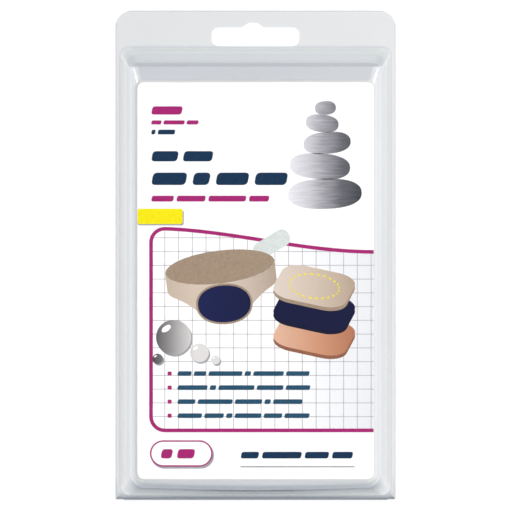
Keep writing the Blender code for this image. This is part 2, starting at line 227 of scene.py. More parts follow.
def vacuum_formed_pet():
    """PET sheet, vacuum formed: a glassy skin with slow waves, and a faint grey-green body. A painted shade,
    marked on the shells, deepens it in its bends, which act as lenses, on the tray's floor, at the top, the
    foot, the rim and the hinge, and towards the left."""
    material, tree, output = new_material("pet_vacuum_formed")
    lean = add(tree, "ShaderNodeLayerWeight", {"Blend": 0.5})
    body = add(tree, "ShaderNodeValToRGB", {"Fac": (lean, "Facing")})
    set_ramp(body, ((0.0, "#FEFEFE"), (0.06, "#FBFBFC"), (0.18, "#F9FAFB"), (0.33, "#F8F9F9"),
                    (0.41, "#FDFDFD"), (0.56, "#FBFBFB"), (0.80, "#FCFDFD"), (1.0, "#C8CED4")))
    # Painted shade: the marked attribute multiplies the body towards grey-blue; on the flange it is the
    # sheet's own tint
    tone = add(tree, "ShaderNodeAttribute", attribute_name=TINT_AND_PAINTED_SHADE)
    deep = add(tree, "ShaderNodeMix", {0: (tone, "Fac"), 6: (body, "Color"), 7: linear("#B4BAC1")},
               data_type="RGBA", blend_type="MULTIPLY")
    through = add(tree, "ShaderNodeBsdfTransparent", {"Color": (deep, 2)})
    steep = add(tree, "ShaderNodeMath", {0: (lean, "Facing"), 1: 5.0}, operation="POWER")
    # A face of index 1.57 reflects 0.05 head on; less keeps the print under it as white as it looks
    head_on = 0.022
    more_at_edge = 0.60
    share = add(tree, "ShaderNodeMath", {0: (steep, "Value"), 1: more_at_edge, 2: head_on},
                operation="MULTIPLY_ADD")
    place = add(tree, "ShaderNodeTexCoord")
    # Waves about 20 mm long
    waves = add(tree, "ShaderNodeTexNoise", {
        "Vector": (place, "Object"), "Scale": 1 / (20 * MM), "Detail": 1.0,
    })
    relief = add(tree, "ShaderNodeBump", {"Height": (waves, "Fac"), "Strength": 0.25, "Distance": 0.0004})
    skin = add(tree, "ShaderNodeBsdfGlossy", {"Roughness": 0.06, "Normal": (relief, "Normal")})
    sheet = add(tree, "ShaderNodeMixShader", {0: (share, "Value"), 1: (through, "BSDF"), 2: (skin, "BSDF")})
    tree.links.new(sheet.outputs[0], output.inputs["Surface"])
    return material


def coated_board():
    """Folding boxboard, clay coated on its face: bright white, nearly smooth, with a faint fibre mottle.
    Its cut edges and its back are bare board, which is greyer and warmer."""
    material, tree, output = new_material("board_clay_coated")
    place = add(tree, "ShaderNodeTexCoord")
    # Fibre mottle about 1.5 mm across
    mottle = add(tree, "ShaderNodeTexNoise", {
        "Vector": (place, "Object"), "Scale": 1 / (1.54 * MM), "Detail": 3.0,
    })
    tone = add(tree, "ShaderNodeValToRGB", {"Fac": (mottle, "Fac")})
    set_ramp(tone, ((0.3, "#F7F7F6"), (0.7, "#FCFCFB")))
    bare = add(tree, "ShaderNodeValToRGB", {"Fac": (mottle, "Fac")})
    set_ramp(bare, ((0.3, "#D9D6D0"), (0.7, "#E3E1DC")))
    faces = add(tree, "ShaderNodeSeparateXYZ", {"Vector": (place, "Normal")})
    coated = add(tree, "ShaderNodeMath", {0: (faces, "Z"), 1: 0.0}, operation="GREATER_THAN")
    both = add(tree, "ShaderNodeMix", {0: (coated, "Value"), 6: (bare, "Color"), 7: (tone, "Color")},
               data_type="RGBA")
    relief = add(tree, "ShaderNodeBump", {"Height": (mottle, "Fac"), "Strength": 0.05, "Distance": 0.00003})
    board = add(tree, "ShaderNodeBsdfPrincipled", {
        "Base Color": (both, 2), "Roughness": 0.42, "IOR": 1.5, "Normal": (relief, "Normal"),
    })
    tree.links.new(board.outputs[0], output.inputs["Surface"])
    return material


def offset_ink(name, hex_colour, deeper):
    """Offset ink under a thin varnish: an even film with a slight mottle towards a deeper tone."""
    material, tree, output = new_material(name)
    place = add(tree, "ShaderNodeTexCoord")
    # Ink mottle about 0.8 mm across
    mottle = add(tree, "ShaderNodeTexNoise", {
        "Vector": (place, "Object"), "Scale": 1 / (0.833 * MM), "Detail": 2.0,
    })
    tone = add(tree, "ShaderNodeValToRGB", {"Fac": (mottle, "Fac")})
    set_ramp(tone, ((0.35, hex_colour), (0.75, deeper)))
    film = add(tree, "ShaderNodeBsdfPrincipled", {
        "Base Color": (tone, "Color"), "Roughness": 0.38, "IOR": 1.48,
    })
    tree.links.new(film.outputs[0], output.inputs["Surface"])
    return material


def graded_ink(name, stops, span, streaks):
    """Ink in a smooth blend across a span of the card, in millimetres, with fine brushed streaks in it."""
    material, tree, output = new_material(name)
    place = add(tree, "ShaderNodeTexCoord")
    apart = add(tree, "ShaderNodeSeparateXYZ", {"Vector": (place, "Object")})
    along = add(tree, "ShaderNodeMapRange", {
        "Value": (apart, "X"), "From Min": span[0] * MM, "From Max": span[1] * MM,
    })
    # Streaks about 6.7 mm long and 0.7 mm wide
    stretched = add(tree, "ShaderNodeMapping", {
        "Vector": (place, "Object"), "Scale": (1 / (6.67 * MM), 1 / (0.714 * MM), 1.0),
    })
    brushed = add(tree, "ShaderNodeTexNoise", {"Vector": (stretched, "Vector"), "Scale": 1.0, "Detail": 4.0})
    shifted = add(tree, "ShaderNodeMath", {0: (brushed, "Fac"), 1: streaks, 2: -streaks / 2},
                  operation="MULTIPLY_ADD")
    summed = add(tree, "ShaderNodeMath", {0: (along, "Result"), 1: (shifted, "Value")}, operation="ADD")
    tone = add(tree, "ShaderNodeValToRGB", {"Fac": (summed, "Value")})
    set_ramp(tone, stops)
    film = add(tree, "ShaderNodeBsdfPrincipled", {
        "Base Color": (tone, "Color"), "Roughness": 0.36, "IOR": 1.48,
    })
    tree.links.new(film.outputs[0], output.inputs["Surface"])
    return material


def jersey_knit(name, pale, deep, wale, course, relief_depth):
    """Nylon and elastane jersey: rows of small V stitches, matt, with a soft sheen at a low angle."""
    material, tree, output = new_material(name)
    cloth = add(tree, "ShaderNodeUVMap", uv_map="weave")
    apart = add(tree, "ShaderNodeSeparateXYZ", {"Vector": (cloth, "UV")})
    column = add(tree, "ShaderNodeMath", {0: (apart, "X"), 1: 1 / wale}, operation="MULTIPLY")
    within = add(tree, "ShaderNodeMath", {0: (column, "Value")}, operation="FRACT")
    centred = add(tree, "ShaderNodeMath", {0: (within, "Value"), 1: 0.5}, operation="SUBTRACT")
    leg = add(tree, "ShaderNodeMath", {0: (centred, "Value")}, operation="ABSOLUTE")
    row = add(tree, "ShaderNodeMath", {0: (apart, "Y"), 1: 1 / course}, operation="MULTIPLY")
    slanted = add(tree, "ShaderNodeMath", {0: (leg, "Value"), 1: 1.3, 2: (row, "Value")},
                  operation="MULTIPLY_ADD")
    looped = add(tree, "ShaderNodeMath", {0: (slanted, "Value"), 1: TURN}, operation="MULTIPLY")
    wave = add(tree, "ShaderNodeMath", {0: (looped, "Value")}, operation="SINE")
    valley = add(tree, "ShaderNodeMath", {0: (leg, "Value"), 1: 2.0}, operation="MULTIPLY")
    side = add(tree, "ShaderNodeMath", {0: (valley, "Value"), 1: math.pi}, operation="MULTIPLY")
    groove = add(tree, "ShaderNodeMath", {0: (side, "Value")}, operation="SINE")
    height = add(tree, "ShaderNodeMath", {0: (wave, "Value"), 1: 0.35, 2: (groove, "Value")},
                 operation="MULTIPLY_ADD")
    # Fuzz about 0.4 mm across
    fuzz = add(tree, "ShaderNodeTexNoise", {
        "Vector": (cloth, "UV"), "Scale": 1 / (0.385 * MM), "Detail": 3.0,
    })
    rough = add(tree, "ShaderNodeMath", {0: (fuzz, "Fac"), 1: 0.5, 2: (height, "Value")},
                operation="MULTIPLY_ADD")
    relief = add(tree, "ShaderNodeBump", {
        "Height": (rough, "Value"), "Strength": 0.6, "Distance": relief_depth,
    })
    # Painted shade: the tone follows the stitches' relief, so the grooves between them are darker
    shade = add(tree, "ShaderNodeMapRange", {"Value": (rough, "Value"), "From Min": -0.2, "From Max": 1.5})
    # Worn patches about 17 mm across
    patch = add(tree, "ShaderNodeTexNoise", {
        "Vector": (cloth, "UV"), "Scale": 1 / (16.7 * MM), "Detail": 2.0,
    })
    patches_and_groove_shade = add(tree, "ShaderNodeMath", {0: (patch, "Fac"), 1: 0.3, 2: (shade, "Result")},
               operation="MULTIPLY_ADD")
    tone = add(tree, "ShaderNodeValToRGB", {"Fac": (patches_and_groove_shade, "Value")})
    set_ramp(tone, ((0.1, deep), (0.9, pale)))
    yarn = add(tree, "ShaderNodeBsdfPrincipled", {
        "Base Color": (tone, "Color"), "Roughness": 0.88, "Sheen Weight": 0.12, "Sheen Roughness": 0.4,
        "Specular IOR Level": 0.25, "Normal": (relief, "Normal"),
    })
    tree.links.new(yarn.outputs[0], output.inputs["Surface"])
    return material


def brushed_loop():
    """Brushed loop fabric: a short, napped pile with no visible rows, a shade paler than the knit."""
    material, tree, output = new_material("polyester_loop_brushed")
    cloth = add(tree, "ShaderNodeUVMap", uv_map="weave")
    # Loops about 0.5 mm apart, in a nap whose tufts are about 1.1 mm wide
    loops = add(tree, "ShaderNodeTexVoronoi", {"Vector": (cloth, "UV"), "Scale": 1 / (0.5 * MM)})
    nap = add(tree, "ShaderNodeTexNoise", {
        "Vector": (cloth, "UV"), "Scale": 1 / (1.11 * MM), "Detail": 4.0,
    })
    pile = add(tree, "ShaderNodeMath", {0: (loops, "Distance"), 1: 0.8, 2: (nap, "Fac")},
               operation="MULTIPLY_ADD")
    relief = add(tree, "ShaderNodeBump", {"Height": (pile, "Value"), "Strength": 0.8, "Distance": 0.00025})
    # Painted shade: the tone follows the pile's relief, darker in the hollows between loops
    tone = add(tree, "ShaderNodeValToRGB", {"Fac": (pile, "Value")})
    set_ramp(tone, ((0.25, "#938070"), (0.95, "#C6B5A5")))
    fibre = add(tree, "ShaderNodeBsdfPrincipled", {
        "Base Color": (tone, "Color"), "Roughness": 0.95, "Sheen Weight": 0.2, "Sheen Roughness": 0.5,
        "Specular IOR Level": 0.2, "Normal": (relief, "Normal"),
    })
    tree.links.new(fibre.outputs[0], output.inputs["Surface"])
    return material


def cast_gel():
    """Cast TPE gel under a thin film: deep navy, satin, soft-edged gloss and a fine orange-peel skin."""
    material, tree, output = new_material("tpe_gel_cast")
    place = add(tree, "ShaderNodeTexCoord")
    # Orange peel about 1.2 mm across, over clouds of deeper colour about 11 mm across
    peel = add(tree, "ShaderNodeTexNoise", {
        "Vector": (place, "Object"), "Scale": 1 / (1.25 * MM), "Detail": 2.0,
    })
    clouds = add(tree, "ShaderNodeTexNoise", {
        "Vector": (place, "Object"), "Scale": 1 / (11.1 * MM), "Detail": 3.0,
    })
    tone = add(tree, "ShaderNodeValToRGB", {"Fac": (clouds, "Fac")})
    set_ramp(tone, ((0.3, "#0D1338"), (0.7, "#141D49")))
    relief = add(tree, "ShaderNodeBump", {"Height": (peel, "Fac"), "Strength": 0.25, "Distance": 0.00008})
    gel = add(tree, "ShaderNodeBsdfPrincipled", {
        "Base Color": (tone, "Color"), "Roughness": 0.30, "IOR": 1.50, "Coat Weight": 0.35,
        "Coat Roughness": 0.18, "Normal": (relief, "Normal"),
    })
    tree.links.new(gel.outputs[0], output.inputs["Surface"])
    return material


def woven_tape():
    """Woven nylon hook tape seen from its back: fine crosswise ribs in pale grey, with a dull shine."""
    material, tree, output = new_material("nylon_tape_woven")
    cloth = add(tree, "ShaderNodeUVMap", uv_map="weave")
    # Ribs 0.7 mm apart, drawn about twice as coarse as real ones so that they show. A wave texture of
    # scale 1 has a wave in each TURN / 20.
    ribs = add(tree, "ShaderNodeTexWave", {
        "Vector": (cloth, "UV"), "Scale": TURN / 20 / (0.7 * MM), "Distortion": 0.6, "Detail": 1.0,
    }, bands_direction="Y")
    # Warp threads 0.4 mm apart
    warp = add(tree, "ShaderNodeTexNoise", {
        "Vector": (cloth, "UV"), "Scale": 1 / (0.4 * MM), "Detail": 2.0,
    })
    weave = add(tree, "ShaderNodeMath", {0: (warp, "Fac"), 1: 0.4, 2: (ribs, "Fac")},
                operation="MULTIPLY_ADD")
    relief = add(tree, "ShaderNodeBump", {"Height": (weave, "Value"), "Strength": 0.6, "Distance": 0.0002})
    # Painted shade: the tone follows the ribs' relief, darker in the grooves between them
    tone = add(tree, "ShaderNodeValToRGB", {"Fac": (weave, "Value")})
    set_ramp(tone, ((0.1, "#A7AFAB"), (1.0, "#CDD3D0")))
    tape = add(tree, "ShaderNodeBsdfPrincipled", {
        "Base Color": (tone, "Color"), "Roughness": 0.6, "Sheen Weight": 0.2, "Normal": (relief, "Normal"),
    })
    tree.links.new(tape.outputs[0], output.inputs["Surface"])
    return material


def spun_thread(name, hex_colour):
    """Spun polyester thread: matt, with plies that twist round it."""
    material, tree, output = new_material(name)
    place = add(tree, "ShaderNodeTexCoord")
    # Plies 0.25 mm apart
    plies = add(tree, "ShaderNodeTexNoise", {
        "Vector": (place, "Object"), "Scale": 1 / (0.25 * MM), "Detail": 2.0,
    })
    relief = add(tree, "ShaderNodeBump", {"Height": (plies, "Fac"), "Strength": 0.5, "Distance": 0.0001})
    thread = add(tree, "ShaderNodeBsdfPrincipled", {
        "Base Color": linear(hex_colour), "Roughness": 0.75, "Sheen Weight": 0.3,
        "Normal": (relief, "Normal"),
    })
    tree.links.new(thread.outputs[0], output.inputs["Surface"])
    return material


def opal_table_floor():
    """The opal sheet of a light table, lit from below, so that a clear thing on it has pale shadows."""
    material, tree, output = new_material("acrylic_opal_lit")
    face = add(tree, "ShaderNodeBsdfDiffuse", {"Color": linear("#B4B4B4")})
    glow = add(tree, "ShaderNodeEmission", {"Color": linear("#FFFFFF"), "Strength": 0.56})
    lit = add(tree, "ShaderNodeAddShader", {0: (face, "BSDF"), 1: (glow, "Emission")})
    tree.links.new(lit.outputs[0], output.inputs["Surface"])
    return material


# Meshes


def add_piece(name, mesh_data, material):
    """Puts a finished mesh in the scene as one named piece."""
    mesh = bpy.data.meshes.new(name)
    mesh_data.to_mesh(mesh)
    mesh_data.free()
    mesh.materials.append(material)
    piece = bpy.data.objects.new(name, mesh)
    bpy.context.collection.objects.link(piece)
    return piece


def smooth(piece, degrees=35):
    """Shades round stretches smooth and keeps the creases."""
    piece.data.shade_smooth()
    piece.data.set_sharp_from_angle(angle=math.radians(degrees))
    return piece


def settle_modifiers(piece):
    """Turns a piece's modifiers into its plain mesh."""
    graph = bpy.context.evaluated_depsgraph_get()
    settled = bpy.data.meshes.new_from_object(piece.evaluated_get(graph))
    piece.modifiers.clear()
    piece.data = settled
    return piece


def arc(centre, radius, start_degrees, end_degrees, steps):
    """Points along an arc, both ends included."""
    points = []
    for step in range(steps + 1):
        angle = math.radians(start_degrees + (end_degrees - start_degrees) * step / steps)
        points.append((centre[0] + radius * math.cos(angle), centre[1] + radius * math.sin(angle)))
    return points


def inset_by(margins, top, side, foot):
    """Margins moved further in."""
    return Margins(margins.top + top, margins.side + side, margins.foot + foot)


def inset_all(margins, depth):
    """Margins moved further in by the same depth all round."""
    return inset_by(margins, depth, depth, depth)


def pack_outline(margins, top_corner, foot_corner, bow=0.0):
    """The pack's rounded outline moved in by the margins; its foot edge bows out at the middle. Its sides
    have points near their ends, so that a tone marked on the foot or the top stays there."""
    right = PACK_WIDTH / 2 - margins.side
    top = PACK_HEIGHT / 2 - margins.top
    foot = margins.foot - PACK_HEIGHT / 2
    straight = 2 * (right - foot_corner)
    points = []
    for step in range(1, BOW_STEPS):
        share = step / BOW_STEPS
        points.append((straight * (share - 0.5), foot - bow * (1 - (2 * share - 1) ** 2)))
    points += arc((right - foot_corner, foot + foot_corner), foot_corner, -90, 0, CORNER_STEPS)
    points += [(right, foot + SIDE_END), (right, top - SIDE_END)]
    points += arc((right - top_corner, top - top_corner), top_corner, 0, 90, CORNER_STEPS)
    points += arc((top_corner - right, top - top_corner), top_corner, 90, 180, CORNER_STEPS)
    points += [(-right, top - SIDE_END), (-right, foot + SIDE_END)]
    points += arc((foot_corner - right, foot + foot_corner), foot_corner, 180, 270, CORNER_STEPS)
    return points


def slot_outline():
    """The hanging slot: round ends and a shallow arch near its middle."""
    foot = PACK_HEIGHT / 2 - HEADER + SLOT_ABOVE_WALL
    top = foot + SLOT_HEIGHT
    reach = SLOT_WIDTH / 2 - SLOT_END_RADIUS
    radius = SLOT_END_RADIUS
    arch_radius = (BUMP_HALF_WIDTH**2 + BUMP_RISE**2) / (2 * BUMP_RISE)
    arch_angle = math.degrees(math.asin(BUMP_HALF_WIDTH / arch_radius))
    points = arc((reach, foot + radius), radius, -90, 0, CORNER_STEPS)
    points += arc((reach, top - radius), radius, 0, 90, CORNER_STEPS)
    arch = (BUMP_SHIFT, top + BUMP_RISE - arch_radius)
    points += arc(arch, arch_radius, 90 - arch_angle, 90 + arch_angle, CORNER_STEPS)
    points += arc((-reach, top - radius), radius, 90, 180, CORNER_STEPS)
    points += arc((-reach, foot + radius), radius, 180, 270, CORNER_STEPS)
    return points


def prism(mesh, outline, bottom, top):
    """Adds a flat closed solid with that outline, given counter-clockwise."""
    low = [mesh.verts.new((x, y, bottom)) for x, y in outline]
    high = [mesh.verts.new((x, y, top)) for x, y in outline]
    mesh.faces.new(low[::-1])
    mesh.faces.new(high)
    for index in range(len(outline)):
        after = (index + 1) % len(outline)
        mesh.faces.new((low[index], low[after], high[after], high[index]))


def skin(mesh, loops):
    """Joins closed rings of points, each to the next, with a strip of faces."""
    for before, after in zip(loops, loops[1:]):
        for index in range(len(before)):
            follow = (index + 1) % len(before)
            mesh.faces.new((before[index], before[follow], after[follow], after[index]))


def pressed_shell(name, rings, faces_up, material):
    """A sheet pressed through rings, bent, thickened inwards, with the hanging slot cut out."""
    mesh = bmesh.new()
    weight_layer = mesh.edges.layers.float.new("bevel_weight_edge")
    widest_bend = max(ring.bend for ring in rings)
    loops = []
    for ring in rings:
        outline = pack_outline(ring.margins, ring.top_corner, ring.foot_corner, ring.bow)
        loops.append([mesh.verts.new((x, y, ring.height)) for x, y in outline])
    skin(mesh, loops)
    mesh.faces.new(loops[-1])
    if not faces_up:
        bmesh.ops.reverse_faces(mesh, faces=mesh.faces)
    for ring, loop in zip(rings, loops):
        for index, vertex in enumerate(loop):
            mesh.edges.get((vertex, loop[(index + 1) % len(loop)]))[weight_layer] = ring.bend / widest_bend
    shell = add_piece(name, mesh, material)
    bends = shell.modifiers.new("bends", "BEVEL")
    bends.limit_method = "WEIGHT"
    bends.width = widest_bend
    bends.segments = BEND_SEGMENTS
    wall = shell.modifiers.new("wall", "SOLIDIFY")
    wall.thickness = SHEET
    wall.offset = -1.0
    wall.use_even_offset = True
    cutter_mesh = bmesh.new()
    prism(cutter_mesh, slot_outline(), -PANEL_HEIGHT, 2 * PANEL_HEIGHT)
    cutter = add_piece("slot_cutter", cutter_mesh, material)
    cut = shell.modifiers.new("slot", "BOOLEAN")
    cut.operation = "DIFFERENCE"
    cut.solver = "EXACT"
    cut.object = cutter
    settle_modifiers(shell)
    bpy.data.objects.remove(cutter, do_unlink=True)
    smooth(shell)
    even = shell.modifiers.new("even_shading", "WEIGHTED_NORMAL")
    even.keep_sharp = True
    return shell


def toward_foot(x, y, margins, corner, bow=0.0):
    """How far a point lies inside a rounded outline, and how much the nearest edge there faces the foot."""
    across = abs(x) - (PACK_WIDTH / 2 - margins.side - corner)
    down = margins.foot + corner - bow * (1 - (2 * x / PACK_WIDTH) ** 2) - PACK_HEIGHT / 2 - y
    if across <= 0 or down <= 0:
        return corner - max(across, down), 1.0 if down > across else 0.0
    reach = math.hypot(across, down)
    return corner - reach, (down / reach) ** 2


def tint_and_shade_at(x, y, z, flange, wall_top, ledge_height):
    """How deep the sheet's tone is at a point, from 0 to 1: its own tint on the flange, painted shade
    elsewhere. The painted shade grows a little towards the left side.
    """
    from_foot = y + PACK_HEIGHT / 2
    from_top = PACK_HEIGHT / 2 - y
    from_rim = min(PACK_WIDTH / 2 - abs(x), from_top, from_foot)
    amount = 0.0
    if z < TRAY_BEND:
        amount = FLOOR_PAINTED_SHADE
    if abs(z - PACK_HIGH[2]) < LIP_BEND:
        _, share = toward_foot(x, y, flange, WALL_CORNER)
        amount = FLANGE_DEPTH + (FOOT_FLANGE_PAINTED_SHADE - FLANGE_DEPTH) * share
    if from_rim < RIM / 2:
        amount = max(amount, RIM_PAINTED_SHADE)
    if from_foot < HINGE_REACH and from_rim == from_foot:
        amount = max(amount, HINGE_PAINTED_SHADE)
    if abs(z - ledge_height) < LIP_BEND:
        inside, share = toward_foot(x, y, wall_top, FOOT_LEDGE_CORNER, FOOT_BOW)
        if from_top < HEADER + WALL_LEAN_TOP + 1.5 * LEDGE:
            amount = TOP_LEDGE_PAINTED_SHADE
        else:
            bend = FOOT_BEND_PAINTED_SHADE if inside < LEDGE * 0.6 else FOOT_INNER_PAINTED_SHADE
            amount = max(LEDGE_PAINTED_SHADE, share * bend)
    if z > ledge_height + LIP_BEND:
        if from_top < HEADER + WALL_LEAN_TOP + LEDGE + STEP_LEAN_TOP - 0.6 * SHOULDER_BEND:
            amount = TOP_STEP_PAINTED_SHADE
        if from_foot < FOOT_FLANGE + WALL_LEAN_FOOT + LEDGE + STEP_LEAN_FOOT - 0.6 * SHOULDER_BEND:
            amount = FOOT_STEP_PAINTED_SHADE
    return amount + LEFT_PAINTED_SHADE * (0.5 - x / PACK_WIDTH)


def mark_tint_and_shade(shell, flange, wall_top, ledge_height):
    """Marks the sheet's tint and its painted shade all over a shell."""
    attribute = shell.data.attributes.new(TINT_AND_PAINTED_SHADE, "FLOAT", "POINT")
    for index, vertex in enumerate(shell.data.vertices):
        attribute.data[index].value = tint_and_shade_at(*vertex.co, flange, wall_top, ledge_height)


def make_shells():
    """Both halves of the pack, finer than the frame's solids and in the same places."""
    pet = vacuum_formed_pet()
    flange = Margins(HEADER, SIDE_FLANGE, FOOT_FLANGE)
    none = Margins(0, 0, 0)
    rim = inset_all(none, RIM)
    tray_top = PACK_HIGH[2] - SHEET
    floor = inset_all(flange, TRAY_DRAFT)
    floor_corner = WALL_CORNER + TRAY_BEND
    tray = pressed_shell("clear_tray", (
        Ring(none, HEADER_CORNER, FOOT_CORNER, 0.0, tray_top, 0.0),
        Ring(rim, HEADER_CORNER - RIM, FOOT_CORNER, 0.0, tray_top, 0.0),
        Ring(flange, WALL_CORNER, WALL_CORNER, 0.0, tray_top, LIP_BEND),
        Ring(floor, floor_corner, floor_corner, 0.0, PACK_LOW[2], TRAY_BEND),
    ), False, pet)
    wall_top = inset_by(flange, WALL_LEAN_TOP, WALL_LEAN_SIDE, WALL_LEAN_FOOT)
    ledge = inset_all(wall_top, LEDGE)
    panel = inset_by(ledge, STEP_LEAN_TOP, STEP_LEAN_SIDE, STEP_LEAN_FOOT)
    low = FRONT_LOW[2] + SHEET
    high = low + WALL_RISE
    front = pressed_shell("clear_front", (
        Ring(none, HEADER_CORNER, FOOT_CORNER, 0.0, low, 0.0),
        Ring(rim, HEADER_CORNER - RIM, FOOT_CORNER, 0.0, low, 0.0),
        Ring(flange, WALL_CORNER, WALL_CORNER, 0.0, low, LIP_BEND),
        Ring(wall_top, WALL_CORNER, FOOT_LEDGE_CORNER, FOOT_BOW, high, LIP_BEND),
        Ring(ledge, PANEL_CORNER, FOOT_LEDGE_CORNER, FOOT_BOW, high, LIP_BEND),
        Ring(panel, PANEL_CORNER, PANEL_CORNER, 0.0, PANEL_HEIGHT, SHOULDER_BEND),
    ), True, pet)
    mark_tint_and_shade(tray, flange, wall_top, 2 * PANEL_HEIGHT)
    mark_tint_and_shade(front, flange, wall_top, high)
    for shell, node, body in ((tray, "back_shell", "root"), (front, "front_shell", "lid")):
        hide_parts(node)
        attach(shell, body)
    return pet


CLEAR_PET = make_shells()

# Card and print


def rounded_box(low, high, radius, steps):
    """Outline of a rectangle with round corners, counter-clockwise."""
    points = arc((high[0] - radius, low[1] + radius), radius, -90, 0, steps)
    points += arc((high[0] - radius, high[1] - radius), radius, 0, 90, steps)
    points += arc((low[0] + radius, high[1] - radius), radius, 90, 180, steps)
    points += arc((low[0] + radius, low[1] + radius), radius, 180, 270, steps)
    return points


def make_card():
    """The insert card with its cut edges eased."""
    mesh = bmesh.new()
    prism(mesh, rounded_box(CARD_LOW, CARD_HIGH, CARD_CORNER, CORNER_STEPS), CARD_LOW[2], CARD_HIGH[2])
    card = add_piece("card_board", mesh, coated_board())
    ease = card.modifiers.new("ease", "BEVEL")
    ease.width = CARD_EDGE
    ease.segments = 2
    ease.angle_limit = math.radians(60)
    settle_modifiers(card)
    smooth(card)
    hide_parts("insert_card")
    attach(card, "lid")


make_card()

# The card's print is in millimetres from the card's middle, as (across, up). Each ink is a thin film of
# its own, and a higher layer lies over a lower one.

CARD_HALF_WIDTH = (CARD_HIGH[0] - CARD_LOW[0]) / 2 / MM
PANEL_LEFT = -38.0
PANEL_FOOT = -54.4
PANEL_CORNER_MM = 5.0
WAVE_HIGH = 19.0
WAVE_LOW = 10.5

Dashes = namedtuple("Dashes", "ink left foot height lengths")
Stone = namedtuple("Stone", "across up half_width half_height tilt")
Bubble = namedtuple("Bubble", "across up radius")
Layer = namedtuple("Layer", "ink edge up")

# Rows of blank dashes: where each row starts, its height, and how long its dashes are
DASHES = (
    Dashes("magenta", -38.0, 60.4, 3.0, (11.0,)),
    Dashes("magenta", -38.0, 56.8, 1.5, (3.6, 7.6, 4.2)),
    Dashes("navy", -38.0, 53.2, 1.7, (1.4, 6.2)),
    Dashes("navy", -38.0, 43.4, 3.7, (9.4, 10.6)),
    Dashes("navy", -38.0, 34.8, 4.5, (12.4, 6.0, 11.6, 11.6)),
    Dashes("magenta", -38.0, 28.8, 2.1, (8.0, 10.4, 13.6, 7.2)),
    Dashes("teal", -28.5, -34.6, 1.7, (5.0, 4.4, 12.2, 2.2, 11.0, 8.4)),
    Dashes("teal", -28.5, -39.7, 1.7, (10.8, 2.2, 13.0, 9.6, 8.8)),
    Dashes("teal", -28.5, -44.8, 1.7, (6.4, 12.6, 9.8, 2.2, 10.6)),
    Dashes("teal", -28.5, -49.9, 1.7, (8.8, 7.0, 2.2, 9.6, 6.6, 9.0)),
    Dashes("navy", -5.5, -64.6, 2.4, (6.4, 14.2, 8.6, 7.4)),
)
DASH_LEAN = 0.2
DASH_CORNER = 0.3
DASH_GAP = 0.55
BULLET_LEFT = -32.0
BULLET_SIZE = 1.5
BULLET_CORNER = 0.3
UNDERLINE = ((-5.5, -67.6), (36.0, -67.6))
UNDERLINE_WIDTH = 0.5

# The blank pennant at the left edge, and the blank pill in the lower left corner
PENNANT_RIGHT = -26.5
PENNANT_FOOT = 20.6
PENNANT_TOP = 26.2
PENNANT_CORNER = 0.9
PILL_LOW = (-38.4, -67.6)
PILL_HIGH = (-15.6, -58.0)
PILL_RIM = 0.55
PILL_DASHES = Dashes("magenta", -34.6, -64.6, 3.4, (4.0, 6.2))

# A heap of smooth stones, lowest first, and where their shading starts and ends
STONES = (
    Stone(25.2, 31.6, 13.4, 5.5, 2.0),
    Stone(23.4, 41.6, 11.0, 4.7, -4.0),
    Stone(26.0, 50.1, 8.6, 4.0, 5.0),
    Stone(24.2, 57.2, 6.0, 3.2, -7.0),
    Stone(25.4, 62.8, 3.8, 2.5, 4.0),
)
STONES_SPAN = (12.0, 38.0)

BUBBLES = (
    Bubble(-29.8, -20.6, 6.4),
    Bubble(-20.4, -26.2, 3.4),
    Bubble(-35.6, -28.4, 1.9),
    Bubble(-14.6, -28.8, 1.6),
)
BUBBLES_SPAN = (-37.0, -22.0)

# The cushion drawn as three loose sheets, lowest first, and seen at a slant: how far a step across a
# sheet and a step up it go across the card, and how far they go up it
CUSHION_LAYERS = (
    Layer("skin", "skin_edge", -19.5),
    Layer("pad_navy", "navy_deep", -10.5),
    Layer("beige_sheet", "beige_deep", -2.0),
)
CUSHION_ACROSS = 21.3
CUSHION_HALF = 14.4
CUSHION_SHEET = 1.3
CUSHION_CORNER = 0.55
CUSHION_SPAN = (8.0, 36.0)
SLANT_ACROSS = (0.92, 0.22)
SLANT_UP = (-0.20, 0.42)
DOTTED_RADIUS = 9.6
DOTTED_WIDTH = 0.55
DOTTED_SHARE = 0.62
DOTS = 24

# The wrap drawn as a closed loop
LOOP_ACROSS = -13.0
LOOP_UP = 5.0
LOOP_HALF = 20.0
LOOP_RIM = 6.0
LOOP_ARM = 6.5
LOOP_SWELL = 8.5
LOOP_TILT = 7.0
LOOP_SPAN = (LOOP_ACROSS - LOOP_HALF, LOOP_ACROSS + LOOP_HALF)
DRAWN_PAD = (9.6, 6.7)
DRAWN_BORDER = (10.3, 7.4)
DRAWN_TAB = ((-1.0, -3.1), (13.5, 3.1))


def turned(points, degrees, across, up):
    """Points turned about the origin, then moved."""
    cosine = math.cos(math.radians(degrees))
    sine = math.sin(math.radians(degrees))
    return [(across + x * cosine - y * sine, up + x * sine + y * cosine) for x, y in points]


def squared_off(value, power):
    """A cosine or sine raised to a power with its sign kept. Under 1 it makes a round outline squarer."""
    return math.copysign(abs(value) ** power, value)


def pebble(half_width, half_height, roundness=2.4, steps=40):
    """A superellipse about the origin: 2 is an ellipse, and more is squarer."""
    points = []
    for step in range(steps):
        angle = TURN * step / steps
        x = half_width * squared_off(math.cos(angle), 2 / roundness)
        y = half_height * squared_off(math.sin(angle), 2 / roundness)
        points.append((x, y))
    return points


def stroke(points, width):
    """The outline of a line of that width through points, with square ends."""
    left = []
    right = []
    for index, (x, y) in enumerate(points):
        before = points[max(index - 1, 0)]
        after = points[min(index + 1, len(points) - 1)]
        length = math.hypot(after[0] - before[0], after[1] - before[1])
        side = ((before[1] - after[1]) / length * width / 2, (after[0] - before[0]) / length * width / 2)
        left.append((x + side[0], y + side[1]))
        right.append((x - side[0], y - side[1]))
    return right + left[::-1]


